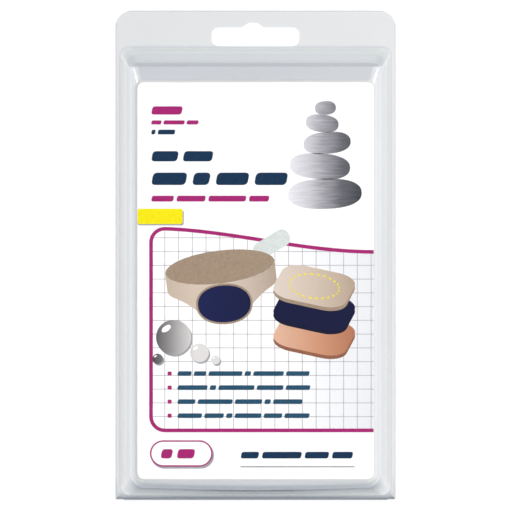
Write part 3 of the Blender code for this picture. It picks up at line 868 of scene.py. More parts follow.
def wave(across):
    """Height of the grid panel's top rule, which sinks in one soft wave from left to right."""
    share = (across - PANEL_LEFT) / (CARD_HALF_WIDTH - PANEL_LEFT)
    return WAVE_HIGH + (WAVE_LOW - WAVE_HIGH) * share * share * (3 - 2 * share)


def wave_reach(up):
    """How far across the grid panel's lines run at a height, before they meet the wave."""
    across = PANEL_LEFT
    while across < CARD_HALF_WIDTH and wave(across) > up:
        across += GRID_PITCH / MM / 40
    return min(across, CARD_HALF_WIDTH)


def panel_top(start, end, steps=48):
    """Points along the wave."""
    return [(start + (end - start) * step / steps, wave(start + (end - start) * step / steps))
            for step in range(steps + 1)]


def panel_side():
    """The grid panel's left side with its two round corners, from the foot up."""
    corner = PANEL_CORNER_MM
    top = wave(PANEL_LEFT + corner)
    points = arc((PANEL_LEFT + corner, PANEL_FOOT + corner), corner, 270, 180, 10)
    return points + arc((PANEL_LEFT + corner, top - corner), corner, 180, 90, 10)


def dash_row(row):
    """The leaning, round-cornered dashes of a row, one after another."""
    outlines = []
    left = row.left
    for length in row.lengths:
        points = rounded_box((0, 0), (length, row.height), row.height * DASH_CORNER, 4)
        outlines.append([(left + x + y * DASH_LEAN, row.foot + y) for x, y in points])
        left += length + row.height * DASH_GAP
    return outlines


def grid_lines():
    """The squared-paper lines of the grid panel."""
    half = GRID_LINE / MM / 2
    pitch = GRID_PITCH / MM
    outlines = []
    across = PANEL_LEFT + pitch
    while across < CARD_HALF_WIDTH - half:
        outlines.append(stroke([(across, PANEL_FOOT), (across, wave(across))], 2 * half))
        across += pitch
    up = PANEL_FOOT + pitch
    while up < WAVE_HIGH:
        outlines.append(stroke([(PANEL_LEFT, up), (wave_reach(up), up)], 2 * half))
        up += pitch
    return outlines


def loop_place(points):
    """Points of the drawn loop, turned and moved to its place on the card."""
    return turned(points, LOOP_TILT, LOOP_ACROSS, LOOP_UP)


def loop_rim(start_degrees, end_degrees, steps=28):
    """Part of the drawn loop's upper rim, which shows as an ellipse."""
    return [(LOOP_HALF * x, LOOP_RIM * y) for x, y in arc((0, 0), 1.0, start_degrees, end_degrees, steps)]


def loop_foot(steps=36):
    """The drawn loop's lower edge, from left to right: narrow arms that swell round the pad."""
    points = []
    for x, y in arc((0, 0), 1.0, 180, 360, steps):
        swell = 0.5 + 0.5 * math.cos(math.pi * min(abs(x) * 1.15, 1.0))
        points.append((LOOP_HALF * x, LOOP_RIM * y - LOOP_ARM - LOOP_SWELL * swell))
    return points


def dotted_ring(ring):
    """Short strokes along a closed line of points, with gaps between them."""
    outlines = []
    span = len(ring) // DOTS
    for dot in range(DOTS):
        run = [ring[(dot * span + step) % len(ring)] for step in range(int(span * DOTTED_SHARE) + 1)]
        outlines.append(stroke(run, DOTTED_WIDTH))
    return outlines


def cushion_view(points, up):
    """Points of a square sheet as seen at a slant, at a height on the card."""
    return [(CUSHION_ACROSS + SLANT_ACROSS[0] * x + SLANT_ACROSS[1] * y,
             up + SLANT_UP[0] * x + SLANT_UP[1] * y) for x, y in points]


def print_ink(name, ink, outlines, layer):
    """Prints closed outlines as one film of ink on the card."""
    mesh = bmesh.new()
    for outline in outlines:
        places = [(x * MM, CARD_MIDDLE + y * MM) for x, y in outline]
        turn = sum(a[0] * b[1] - b[0] * a[1] for a, b in zip(places, places[1:] + places[:1]))
        prism(mesh, places if turn > 0 else places[::-1], CARD_FACE - INK / 2, CARD_FACE + layer * INK)
    film = add_piece(name, mesh, ink)
    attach(film, "lid")


def print_dashes(inks):
    """The rows of dashes with their bullets, and the line under the lowest row."""
    for colour in ("magenta", "navy", "teal"):
        outlines = [outline for row in DASHES if row.ink == colour for outline in dash_row(row)]
        print_ink("dashes_" + colour, inks[colour], outlines, 6)
    bullets = []
    for row in DASHES:
        if row.ink == "teal":
            low = (BULLET_LEFT, row.foot + (row.height - BULLET_SIZE) / 2)
            high = (low[0] + BULLET_SIZE, low[1] + BULLET_SIZE)
            bullets.append(rounded_box(low, high, BULLET_CORNER, 3))
    print_ink("bullets", inks["magenta"], bullets, 5)
    print_ink("underline", inks["shade"], [stroke(UNDERLINE, UNDERLINE_WIDTH)], 5)


def print_panel(inks):
    """The squared panel that runs off the card's right edge, its rules, and the blank pennant."""
    edge = CARD_HALF_WIDTH - CARD_EDGE / MM
    border = panel_side() + panel_top(PANEL_LEFT + PANEL_CORNER_MM, edge)[1:]
    print_ink("panel_tint", inks["tint"], [border + [(edge, PANEL_FOOT)]], 1)
    print_ink("panel_grid", inks["grid"], grid_lines(), 2)
    print_ink("panel_rule", inks["magenta"], [stroke([(edge, PANEL_FOOT)] + border, RULE / MM)], 3)
    pennant = rounded_box((-edge, PENNANT_FOOT), (PENNANT_RIGHT, PENNANT_TOP), PENNANT_CORNER, 5)
    shadow_low = (-edge, PENNANT_FOOT - 0.5)
    shadow_high = (PENNANT_RIGHT + 0.4, PENNANT_TOP - 0.5)
    shadow = rounded_box(shadow_low, shadow_high, PENNANT_CORNER, 5)
    print_ink("pennant_shadow", inks["shade"], [shadow], 4)
    print_ink("pennant", inks["yellow"], [pennant], 5)


def print_stones(inks):
    """The heap of smooth silvery stones."""
    outlines = []
    for stone in STONES:
        shape = pebble(stone.half_width, stone.half_height)
        outlines.append(turned(shape, stone.tilt, stone.across, stone.up))
    print_ink("stones", inks["silver"], outlines, 4)


def print_loop(inks):
    """The wrap drawn as a closed loop, with its pad to the front and its tab at the back."""
    back = loop_rim(0, 360)[:-1]
    front = loop_rim(0, -180) + loop_foot()
    middle = -LOOP_RIM - (LOOP_ARM + LOOP_SWELL) / 2
    pad = turned(pebble(*DRAWN_PAD, 2.2), -4.0, 0.0, middle)
    border = turned(pebble(*DRAWN_BORDER, 2.2), -4.0, 0.0, middle)
    tab = turned(rounded_box(*DRAWN_TAB, 2.8, 6), 24.0, 14.0, 3.4)
    print_ink("drawn_tab", inks["tape"], [loop_place(tab)], 4)
    print_ink("drawn_back", inks["beige_deep"], [loop_place(back)], 5)
    print_ink("drawn_front", inks["beige"], [loop_place(front)], 6)
    print_ink("drawn_border", inks["beige_deep"], [loop_place(border)], 7)
    print_ink("drawn_pad", inks["pad_navy"], [loop_place(pad)], 8)


def print_cushion(inks):
    """The cushion's sheets, drawn apart at a slant, with a dotted ring on the top one."""
    half = CUSHION_HALF
    square = rounded_box((-half, -half), (half, half), half * CUSHION_CORNER, 8)
    for level, sheet in enumerate(CUSHION_LAYERS):
        edge = cushion_view(square, sheet.up - CUSHION_SHEET)
        print_ink("layer_edge_" + sheet.ink, inks[sheet.edge], [edge], 3 + 2 * level)
        print_ink("layer_" + sheet.ink, inks[sheet.ink], [cushion_view(square, sheet.up)], 4 + 2 * level)
    circle = pebble(DOTTED_RADIUS, DOTTED_RADIUS, 2.0, steps=6 * DOTS)
    ring = cushion_view(circle, CUSHION_LAYERS[-1].up)
    print_ink("dotted_ring", inks["yellow"], dotted_ring(ring), 9)


def print_bubbles(inks):
    """Grey bubbles with a pale glint, beside the drawn loop."""
    shadows = [turned(pebble(b.radius, b.radius, 2.0), 0, b.across + 0.5, b.up - 0.6) for b in BUBBLES]
    discs = [turned(pebble(b.radius, b.radius, 2.0), 0, b.across, b.up) for b in BUBBLES]
    glints = []
    for b in BUBBLES:
        glint = pebble(b.radius * 0.3, b.radius * 0.16, 2.0, 16)
        glints.append(turned(glint, 35, b.across - b.radius * 0.42, b.up + b.radius * 0.5))
    print_ink("bubble_shadows", inks["shade"], shadows, 3)
    print_ink("bubbles", inks["bubble"], discs, 4)
    print_ink("bubble_glints", inks["white"], glints, 5)


def print_pill(inks):
    """An outlined pill with two dashes in it, in the card's lower left corner."""
    low, high, rim = PILL_LOW, PILL_HIGH, PILL_RIM
    radius = (high[1] - low[1]) / 2
    shadow = rounded_box((low[0] + 0.4, low[1] - 0.7), (high[0] + 0.5, high[1] - 0.7), radius, 10)
    print_ink("pill_shadow", inks["shade"], [shadow], 3)
    print_ink("pill_outline", inks["magenta"], [rounded_box(low, high, radius, 10)], 4)
    inner = rounded_box((low[0] + rim, low[1] + rim), (high[0] - rim, high[1] - rim), radius - rim, 10)
    print_ink("pill", inks["white"], [inner], 5)
    print_ink("pill_dashes", inks["magenta"], dash_row(PILL_DASHES), 6)


def print_card():
    """Every ink on the card."""
    inks = {
        "magenta": offset_ink("ink_magenta", "#A62071", "#971963"),
        "navy": offset_ink("ink_navy", "#062F4F", "#052743"),
        "teal": offset_ink("ink_teal_navy", "#234F6A", "#1B425B"),
        "yellow": offset_ink("ink_yellow", "#F1E300", "#E6D700"),
        "tint": graded_ink("ink_pale_tint", (
            (0.0, "#FCFCFC"), (0.55, "#F4F4F5"), (1.0, "#E0E1E4"),
        ), (PANEL_LEFT, CARD_HALF_WIDTH), 0.0),
        "grid": offset_ink("ink_grid_grey", "#BFBABD", "#B5B0B4"),
        "shade": offset_ink("ink_shade_grey", "#A3A3A8", "#949499"),
        "white": offset_ink("ink_white", "#FBFBFB", "#F6F6F6"),
        "silver": graded_ink("ink_silver_graded", (
            (0.0, "#E3E1E6"), (0.3, "#C4C2C8"), (0.5, "#9A999F"), (0.75, "#63646A"), (1.0, "#3D4046"),
        ), STONES_SPAN, 0.35),
        "bubble": graded_ink("ink_bubble_graded", (
            (0.0, "#4C4A4B"), (0.4, "#8F8C8D"), (1.0, "#D9D5D4"),
        ), BUBBLES_SPAN, 0.05),
        "beige": graded_ink("ink_beige_graded", (
            (0.0, "#C0AE9C"), (0.25, "#CDBBAB"), (0.6, "#D0C1B4"), (1.0, "#AF9D8C"),
        ), LOOP_SPAN, 0.12),
        "beige_sheet": graded_ink("ink_beige_sheet", (
            (0.0, "#D6C8BC"), (0.5, "#C9B8A8"), (1.0, "#B09C89"),
        ), CUSHION_SPAN, 0.12),
        "beige_deep": offset_ink("ink_beige_deep", "#A28D78", "#92806D"),
        "pad_navy": graded_ink("ink_pad_navy", (
            (0.0, "#182055"), (0.5, "#0F1747"), (1.0, "#0A1038"),
        ), LOOP_SPAN, 0.10),
        "navy_deep": offset_ink("ink_navy_deep", "#0B1030", "#0A0E2A"),
        "skin": graded_ink("ink_skin_graded", (
            (0.0, "#D9AE95"), (0.5, "#C99273"), (1.0, "#AC7153"),
        ), CUSHION_SPAN, 0.10),
        "skin_edge": offset_ink("ink_skin_edge", "#93604A", "#86543F"),
        "tape": offset_ink("ink_tape_grey", "#D5DBD8", "#C8CFCC"),
    }
    print_panel(inks)
    print_stones(inks)
    print_bubbles(inks)
    print_cushion(inks)
    print_loop(inks)
    print_dashes(inks)
    print_pill(inks)


print_card()

# The wrap, as bands swept along the path that they take when folded. A reach is measured along the band
# from the middle of the pad, and a height from the middle of the fabric, up where the band lies flat.

# How finely the bands are built, and how their edges are rounded
ROW_STEP = 0.0004
BAND_COLUMNS = 26
SOFT_EDGE = 0.0007
LEAST_EDGE = 0.12
END_START = 0.00005
SIDE_START = 0.00002

# The cloth's faint lumps, and the gathers that run out from each cross seam
LUMP = 0.00010
LUMPS_PER_METRE = 140
LUMP_LIMIT = 0.00025
LUMP_FREE_EDGE = 0.004
PUCKER = 0.00016
PUCKER_REACH = 0.011
PUCKER_PITCH = 0.0042
PUCKER_SLANT = 40

# Rolled hems, with small ripples along them
HEM_WIDTH = 0.0022
HEM_THICKNESS = 0.0015
HEM_SIDES = 10
HEM_INSET = 0.86
HEM_RIPPLE = 0.05
HEM_RIPPLE_PITCH = 0.0019

# Stitches, and how far their runs stay from the edges, the ends and the seams of each band
STITCH_THICKNESS = 0.00042
STITCH_LENGTH = 0.0019
STITCH_PITCH = 0.0027
SLEEVE_INSET = 0.0030
SLEEVE_RUN_END = 0.0040
LOOP_INSET = 0.0019
LOOP_RUN_START = 0.0050
LOOP_RUN_END = 0.0040
LOOP_CROSS_PLACE = 0.0024
TAB_INSET = 0.0018
TAB_RUN_START = 0.0050
TAB_RUN_END = 0.0060
TAB_CROSS_PLACE = 0.0050
CROSS_INSET = 0.0030
CROSS_STEPS = 24
ROUTE_STEP = 0.0015

# Tapes over the cross seams
SEAM_BAND = 0.0044
SEAM_OVERHANG = 0.0002
SEAM_TAPE = 0.00022
SEAM_EDGE = 0.0006

# Gel pad, with its groove and its rim placed as shares of its radius
PAD_SIDES = 96
PAD_RINGS = 26
PAD_BORDER = 0.0016
PAD_GROOVE = 0.00035
PAD_GROOVE_PLACE = 0.90
PAD_GROOVE_WIDTH = 0.022
PAD_RIM_PLACE = 0.955
PAD_LIP = 0.0002
PAD_FOOT = 0.985


def eased(rows, along, column):
    """Reads a column of a table of sections at a place between its rows, along a smooth curve."""
    if along <= rows[0].along:
        return getattr(rows[0], column)
    for index in range(1, len(rows)):
        if along <= rows[index].along:
            nearby = [rows[min(max(place, 0), len(rows) - 1)] for place in range(index - 2, index + 2)]
            places = [row.along for row in nearby]
            values = [getattr(row, column) for row in nearby]
            run = places[2] - places[1]
            leave = (values[2] - values[0]) / (places[2] - places[0]) * run
            arrive = (values[3] - values[1]) / (places[3] - places[1]) * run
            share = (along - places[1]) / run
            curve = share * share * (3 - 2 * share)
            bend = share * (1 - share) * ((1 - share) * leave - share * arrive)
            return values[1] + (values[2] - values[1]) * curve + bend
    return getattr(rows[-1], column)


def main_height(y):
    """Height of the fabric's middle in the layer with the pad, which drops past the arm tucked under it."""
    tucked = LOOP_END_REACH - (PAD_PLACE - LOWER_FOLD) - math.pi * FOLD_RADIUS
    drop_start = LOWER_FOLD + max(tucked, 0.0) + LAYER_MARGIN
    share = min(max((y - drop_start) / LAYER_DROP_RUN, 0.0), 1.0)
    return LOW_HEIGHT + 2 * FOLD_RADIUS * (1 - share * share * (3 - 2 * share))


def main_slope(y):
    """Angle of that layer, rising towards the hanging slot."""
    return math.atan2(main_height(y + MM / 2) - main_height(y - MM / 2), MM)


def lie(reach):
    """Place along Y, height and angle of the fabric's middle at a reach."""
    y = PAD_PLACE + reach
    if y > UPPER_FOLD:
        turned_by = (y - UPPER_FOLD) / FOLD_RADIUS
        over = min(turned_by, math.pi)
        place = UPPER_FOLD + FOLD_RADIUS * math.sin(over) - FOLD_RADIUS * (turned_by - over)
        return place, LOW_HEIGHT + FOLD_RADIUS * (1 - math.cos(over)), over
    if y < LOWER_FOLD:
        turned_by = (LOWER_FOLD - y) / FOLD_RADIUS
        under = min(turned_by, math.pi)
        place = LOWER_FOLD - FOLD_RADIUS * math.sin(under) + FOLD_RADIUS * (turned_by - under)
        return place, LOW_HEIGHT + FOLD_RADIUS * (1 + math.cos(under)), under
    return y, main_height(y), main_slope(y)


def on_band(reach, x, height):
    """The point of the folded band at a reach, across it, and at a height from its middle."""
    y, z, angle = lie(reach)
    return Vector((x, y - math.sin(angle) * height, z + math.cos(angle) * height))


def sleeve_edges(reach):
    """Left and right edges of the sleeve: the arms' width, swelling to the pocket under the pad."""
    along = reach / (POCKET_LENGTH / 2)
    arm_left = ARM_WIDTH / 2 - ARM_OFFSET
    arm_right = ARM_WIDTH / 2 + ARM_OFFSET
    left = arm_left + (POCKET_LEFT - arm_left) * eased(POCKET_SWELL, along, "left")
    right = arm_right + (POCKET_RIGHT - arm_right) * eased(POCKET_SWELL, along, "right")
    return BAND_MIDDLE - left, BAND_MIDDLE + right


def round_end(reach, end, radius):
    """How much of its half width a band keeps near a round end."""
    left_over = min(max(abs(end - reach), radius * 0.004), radius)
    return math.sqrt(1 - (1 - left_over / radius) ** 2)


def loop_edges(reach):
    """Edges of the loop panel: the arm's width, with round corners at its free end."""
    left, right = sleeve_edges(reach)
    corner = ARM_WIDTH / 4
    trim = corner * (1 - round_end(reach, -LOOP_END_REACH, corner))
    return left + trim, right - trim


def tab_edges(reach):
    """Edges of the hook tab: it narrows from the arm's width to a round tip."""
    left, right = sleeve_edges(reach)
    middle = (left + right) / 2
    share = (reach - TAB_SEAM_REACH) / TAB_LENGTH
    width = ARM_WIDTH + (TAB_TIP_WIDTH - ARM_WIDTH) * share
    half = width / 2 * round_end(reach, TAB_SEAM_REACH + TAB_LENGTH, TAB_TIP_WIDTH / 2)
    return middle - half, middle + half


def cut_size(start, end, edges):
    """The cloth that a band was cut from: its widest width and length, and the area of the cut."""
    steps = 400
    widths = []
    for step in range(steps):
        left, right = edges(start + (end - start) * (step + 0.5) / steps)
        widths.append(right - left)
    return {"flat": (max(widths), end - start), "area": sum(widths) * (end - start) / steps}


def ease_end(distance, depth):
    """Thins a band to a soft edge within a depth of where it ends."""
    share = min(max(distance / depth, 0.0), 1.0)
    return math.sqrt(1 - (1 - share) ** 2)


def seam_pucker(reach, x, seams):
    """Small gathers that run out from each cross seam, in metres."""
    pucker = 0.0
    for seam in seams:
        fade = max(0.0, 1 - abs(reach - seam) / PUCKER_REACH)
        pucker += PUCKER * fade * fade * math.sin(TURN * x / PUCKER_PITCH + PUCKER_SLANT * reach)
    return pucker


def lay_weave(mesh, weave, flat):
    """Maps the weave onto a cloth, from the place of each point on the flat cloth."""
    for face in mesh.faces:
        for corner in face.loops:
            corner[weave].uv = flat[corner.vert]


def close_band(mesh, weave, sections, columns, flat):
    """Skins the sections of a band, closes its two ends and lays out its weave."""
    skin(mesh, sections)
    for section in (sections[0], sections[-1]):
        for column in range(columns):
            corners = (section[column], section[column + 1], section[-2 - column], section[-1 - column])
            mesh.faces.new(corners)
    bmesh.ops.recalc_face_normals(mesh, faces=mesh.faces)
    lay_weave(mesh, weave, flat)


def soft_band(name, start, end, edges, material, seams=()):
    """A band of cloth with soft edges, gathers by its seams and a faint unevenness, and its weave's map."""
    mesh = bmesh.new()
    weave = mesh.loops.layers.uv.new("weave")
    rows = max(4, round((end - start) / ROW_STEP))
    reaches = [start + (end - start) * row / rows for row in range(rows + 1)]
    flat = {}
    sections = []
    for reach in reaches:
        left, right = edges(reach)
        near_end = ease_end(min(reach - start, end - reach) + END_START, SOFT_EDGE)
        upper = []
        lower = []
        for column in range(BAND_COLUMNS + 1):
            share = 0.5 - 0.5 * math.cos(math.pi * column / BAND_COLUMNS)
            x = left + (right - left) * share
            side = min(x - left, right - x)
            near_side = ease_end(side + SIDE_START, SOFT_EDGE)
            half = FABRIC / 2 * max(LEAST_EDGE, min(near_side, near_end))
            place = Vector((x * LUMPS_PER_METRE, reach * LUMPS_PER_METRE, 3.0))
            lift = seam_pucker(reach, x, seams) + LUMP * noise.noise(place)
            lift *= min(1.0, side / LUMP_FREE_EDGE)
            upper.append(mesh.verts.new(on_band(reach, x, half + min(lift, LUMP_LIMIT))))
            lower.append(mesh.verts.new(on_band(reach, x, -half + max(lift, -LUMP_LIMIT))))
            flat[upper[-1]] = (x, reach)
            flat[lower[-1]] = (x, reach)
        sections.append(upper + lower[::-1])
    close_band(mesh, weave, sections, BAND_COLUMNS, flat)
    return smooth(add_piece(name, mesh, material), 60)


def edge_hem(mesh, flat, start, end, edges, side):
    """Adds a rolled hem along one edge of a band: a flat bead that stands a little proud of the cloth."""
    rows = max(4, round((end - start) / ROW_STEP))
    inward = 1 if side == 0 else -1
    loops = []
    for row in range(rows + 1):
        reach = start + (end - start) * row / rows
        edge = edges(reach)[side]
        ripple = 1 + HEM_RIPPLE * math.sin(TURN * reach / HEM_RIPPLE_PITCH)
        loop = []
        for step in range(HEM_SIDES):
            angle = TURN * step / HEM_SIDES
            across = HEM_WIDTH / 2 * (HEM_INSET + squared_off(math.cos(angle), 0.7))
            height = HEM_THICKNESS / 2 * ripple * squared_off(math.sin(angle), 0.8)
            loop.append(mesh.verts.new(on_band(reach, edge + inward * across, height)))
            flat[loop[-1]] = (across + height, reach)
        loops.append(loop)
    skin(mesh, loops)
    mesh.faces.new(loops[0])
    mesh.faces.new(loops[-1])


def add_stitch(mesh, start, end, out):
    """Adds one stitch: a short thread that rises out of the cloth, runs over it and sinks back in."""
    along = (end - start).normalized()
    across = along.cross(out).normalized()
    up = across.cross(along)
    rings = []
    for step in range(6):
        share = step / 5
        arch = math.sin(math.pi * share)
        radius = STITCH_THICKNESS / 2 * (0.45 + 0.55 * min(1.0, arch * 1.6))
        middle = start.lerp(end, share) + up * (STITCH_THICKNESS * (0.75 * min(1.0, arch * 1.5) - 0.35))
        ring = []
        for side in range(6):
            angle = TURN * side / 6
            ring.append(mesh.verts.new(middle + radius * (math.cos(angle) * across + math.sin(angle) * up)))
        rings.append(ring)
    skin(mesh, rings)
    mesh.faces.new(rings[0][::-1])
    mesh.faces.new(rings[-1])


def stitch_along(mesh, route, top):
    """Stitches along a route of (reach, x) on one face of the cloth, evenly spaced by length."""
    height = FABRIC / 2 if top else -FABRIC / 2
    points = [on_band(reach, x, height) for reach, x in route]
    lengths = [0.0]
    for before, after in zip(points, points[1:]):
        lengths.append(lengths[-1] + (after - before).length)

    def at(distance):
        """The point and the reach at a distance along the route."""
        for index in range(1, len(lengths)):
            if distance <= lengths[index]:
                share = (distance - lengths[index - 1]) / (lengths[index] - lengths[index - 1])
                reach = route[index - 1][0] + (route[index][0] - route[index - 1][0]) * share
                return points[index - 1].lerp(points[index], share), reach
        return points[-1], route[-1][0]

    count = int(lengths[-1] / STITCH_PITCH)
    spare = (lengths[-1] - count * STITCH_PITCH) / 2
    for stitch in range(count):
        begin = spare + stitch * STITCH_PITCH + (STITCH_PITCH - STITCH_LENGTH) / 2
        start, reach = at(begin)
        end, _ = at(begin + STITCH_LENGTH)
        angle = lie(reach)[2]
        out = Vector((0, -math.sin(angle), math.cos(angle))) * (1 if top else -1)
        add_stitch(mesh, start, end, out)


def cross_runs(reach, edges):
    """A straight run of stitches across a band, on both of its faces."""
    left, right = edges(reach)
    route = []
    for step in range(CROSS_STEPS + 1):
        along = (right - left - 2 * CROSS_INSET) * step / CROSS_STEPS
        route.append((reach, left + CROSS_INSET + along))
    return [(route, True), (route, False)]


def edge_route(start, end, edges, side, inset):
    """A run of stitches along one edge of a band."""
    steps = max(8, round((end - start) / ROUTE_STEP))
    inward = inset if side == 0 else -inset
    route = []
    for step in range(steps + 1):
        reach = start + (end - start) * step / steps
        route.append((reach, edges(reach)[side] + inward))
    return route


def edge_runs(start, end, edges, inset):
    """Runs of stitches along both edges of a band, on both of its faces."""
    return [(edge_route(start, end, edges, side, inset), top) for side in (0, 1) for top in (True, False)]


def pad_radius(angle):
    """Radius of the pad's rounded outline; angle 0 points to the tab, a quarter turn to the right."""
    lean = angle - math.pi / 4
    swell = 0.05 * math.cos(lean) + 0.02 * math.cos(2 * lean) + 0.035 * math.cos(3 * lean)
    return PAD_LENGTH / 2 * (1 + swell)


def pad_route():
    """The run of stitches round the pad."""
    route = []
    for step in range(PAD_SIDES + 1):
        angle = TURN * step / PAD_SIDES
        radius = pad_radius(angle) + PAD_BORDER
        route.append((radius * math.cos(angle), BAND_MIDDLE + PAD_SHIFT + radius * math.sin(angle)))
    return route


def pad_lift(share):
    """Height of the pad's top over the fabric at a share of its radius: a crown, a groove, a rolled rim."""
    crown = PAD_RIM + (PAD_THICKNESS - PAD_RIM) * math.sqrt(max(0.0, 1 - share**4))
    groove = PAD_GROOVE * math.exp(-(((share - PAD_GROOVE_PLACE) / PAD_GROOVE_WIDTH) ** 2))
    if share < PAD_RIM_PLACE:
        return min(crown, PAD_THICKNESS) - groove
    over = (share - PAD_RIM_PLACE) / (1 - PAD_RIM_PLACE)
    return min(crown, PAD_RIM * math.sqrt(max(0.0, 1 - over**2)) + PAD_LIP)


def pad_point(share, step, lift):
    """A point of the pad, lifted off the fabric under it."""
    angle = TURN * step / PAD_SIDES
    x = BAND_MIDDLE + PAD_SHIFT + share * pad_radius(angle) * math.sin(angle)
    y = PAD_PLACE + share * pad_radius(angle) * math.cos(angle)
    return Vector((x, y, main_height(y) + FABRIC / 2 / math.cos(main_slope(y)) + GAP / 2 + lift))


def make_pad():
    """The gel pad: a soft crown inside a shallow groove and a rolled rim, lying on the sleeve."""
    mesh = bmesh.new()
    loops = []
    for ring in range(1, PAD_RINGS + 1):
        share = ring / PAD_RINGS
        loops.append([mesh.verts.new(pad_point(share * PAD_FOOT, step, 0.0)) for step in range(PAD_SIDES)])
    for ring in range(PAD_RINGS * 2, 0, -1):
        share = math.sin(math.pi / 2 * ring / (PAD_RINGS * 2))
        loops.append([mesh.verts.new(pad_point(share, step, pad_lift(share))) for step in range(PAD_SIDES)])
    skin(mesh, loops)
    for loop, lift in ((loops[0], 0.0), (loops[-1], pad_lift(0.0))):
        centre = mesh.verts.new(pad_point(0.0, 0, lift))
        for index in range(PAD_SIDES):
            mesh.faces.new((loop[index], loop[(index + 1) % PAD_SIDES], centre))
    bmesh.ops.recalc_face_normals(mesh, faces=mesh.faces)
    pad = smooth(add_piece("gel_cushion", mesh, cast_gel()), 70)
    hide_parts("gel_pad")
    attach(pad, "root")


def make_stitches(name, thread, runs):
    """One piece of thread for several runs of stitches, each given as (route, on the top face)."""
    mesh = bmesh.new()
    for route, top in runs:
        stitch_along(mesh, route, top)
    bmesh.ops.recalc_face_normals(mesh, faces=mesh.faces)
    return smooth(add_piece(name, mesh, thread), 70)


def make_hems(name, material, start, end, edges):
    """The rolled hems along both edges of a band."""
    mesh = bmesh.new()
    weave = mesh.loops.layers.uv.new("weave")
    flat = {}
    for side in (0, 1):
        edge_hem(mesh, flat, start, end, edges, side)
    bmesh.ops.recalc_face_normals(mesh, faces=mesh.faces)
    lay_weave(mesh, weave, flat)
    return smooth(add_piece(name, mesh, material), 60)


def make_seam_tape(name, material, reach, edges):
    """A narrow folded tape sewn over a cross seam, on both faces of the band."""
    start = reach - SEAM_BAND / 2
    end = reach + SEAM_BAND / 2

    def tape_edges(place):
        """The tape's two edges, a little past those of the band."""
        left, right = edges(min(max(place, start), end))
        return left - SEAM_OVERHANG, right + SEAM_OVERHANG

    mesh = bmesh.new()
    weave = mesh.loops.layers.uv.new("weave")
    rows = 16
    columns = 20
    sections = []
    flat = {}
    for row in range(rows + 1):
        place = start + (end - start) * row / rows
        left, right = tape_edges(place)
        soft = ease_end(min(row, rows - row) / rows * SEAM_BAND + END_START, SEAM_EDGE)
        half = FABRIC / 2 + SEAM_TAPE * soft
        upper = []
        lower = []
        for column in range(columns + 1):
            x = left + (right - left) * column / columns
            upper.append(mesh.verts.new(on_band(place, x, half)))
            lower.append(mesh.verts.new(on_band(place, x, -half)))
            flat[upper[-1]] = (x, place)
            flat[lower[-1]] = (x, place)
        sections.append(upper + lower[::-1])
    close_band(mesh, weave, sections, columns, flat)
    return smooth(add_piece(name, mesh, material), 60)


def make_wrap():
    """The folded wrap: knit sleeve with hems, loop panel, gel pad and hook tab, with its seams."""
    knit = jersey_knit("nylon_jersey_knit", "#C4B2A3", "#8F7D6D", 0.0014, 0.0013, 0.00022)
    hem_knit = jersey_knit("nylon_jersey_hem", "#BDB6B8", "#8C848A", 0.0009, 0.0010, 0.00015)
    seam_tape = jersey_knit("nylon_seam_tape", "#B49C89", "#84705F", 0.0010, 0.0010, 0.00015)
    thread = spun_thread("polyester_thread_beige", "#CDB9A4")
    pale_thread = spun_thread("polyester_thread_pale", "#D9DCDA")
    sleeve_start = -SEAM_REACH + GAP / 2
    sleeve_end = TAB_SEAM_REACH - GAP / 2
    tab_end = TAB_SEAM_REACH + TAB_LENGTH
    seams = (-SEAM_REACH, TAB_SEAM_REACH)
    sleeve = soft_band("knit_sleeve", sleeve_start, sleeve_end, sleeve_edges, knit, seams)
    hems = make_hems("sleeve_hems", hem_knit, sleeve_start, sleeve_end, sleeve_edges)
    loop_end = -SEAM_REACH - GAP / 2
    tab_start = TAB_SEAM_REACH + GAP / 2
    loop = soft_band("loop_fabric_panel", -LOOP_END_REACH, loop_end, loop_edges, brushed_loop(), seams)
    tab = soft_band("hook_tape_tab", tab_start, tab_end, tab_edges, woven_tape())
    loop_tape = make_seam_tape("seam_tape_loop", seam_tape, -SEAM_REACH, sleeve_edges)
    tab_tape = make_seam_tape("seam_tape_tab", seam_tape, TAB_SEAM_REACH, sleeve_edges)
    sleeve_runs = edge_runs(sleeve_start + SLEEVE_RUN_END, sleeve_end - SLEEVE_RUN_END, sleeve_edges,
                            SLEEVE_INSET)
    sleeve_runs += [(pad_route(), True), (pad_route(), False)]
    sleeve_thread = make_stitches("sleeve_stitches", thread, sleeve_runs)
    loop_runs = edge_runs(-LOOP_END_REACH + LOOP_RUN_START, -SEAM_REACH - LOOP_RUN_END, loop_edges,
                          LOOP_INSET)
    loop_runs += cross_runs(-LOOP_END_REACH + LOOP_CROSS_PLACE, loop_edges)
    loop_thread = make_stitches("loop_stitches", thread, loop_runs)
    tab_runs = edge_runs(TAB_SEAM_REACH + TAB_RUN_START, tab_end - TAB_RUN_END, tab_edges, TAB_INSET)
    tab_runs += cross_runs(tab_end - TAB_CROSS_PLACE, tab_edges)
    tab_thread = make_stitches("tab_stitches", pale_thread, tab_runs)
    make_pad()
    for piece, node, slot in ((sleeve, "sleeve", "knit"), (loop, "loop_panel", "loop_fabric"),
                              (tab, "hook_tab", "hook_tape")):
        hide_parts(node)
        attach(piece, "root")
    for piece, slot in ((hems, "knit"), (loop_tape, "knit"), (tab_tape, "knit"), (sleeve_thread, "knit"),
                        (loop_thread, "loop_fabric"), (tab_thread, "hook_tape")):
        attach(piece, "root")
    cut_size(sleeve_start, sleeve_end, sleeve_edges)
    cut_size(-LOOP_END_REACH, -SEAM_REACH, loop_edges)
    cut_size(TAB_SEAM_REACH, tab_end, tab_edges)


make_wrap()

# Living hinge

HINGE_SHEET = 0.00015
HINGE_BULGE = 0.00030
HINGE_END = 0.0030


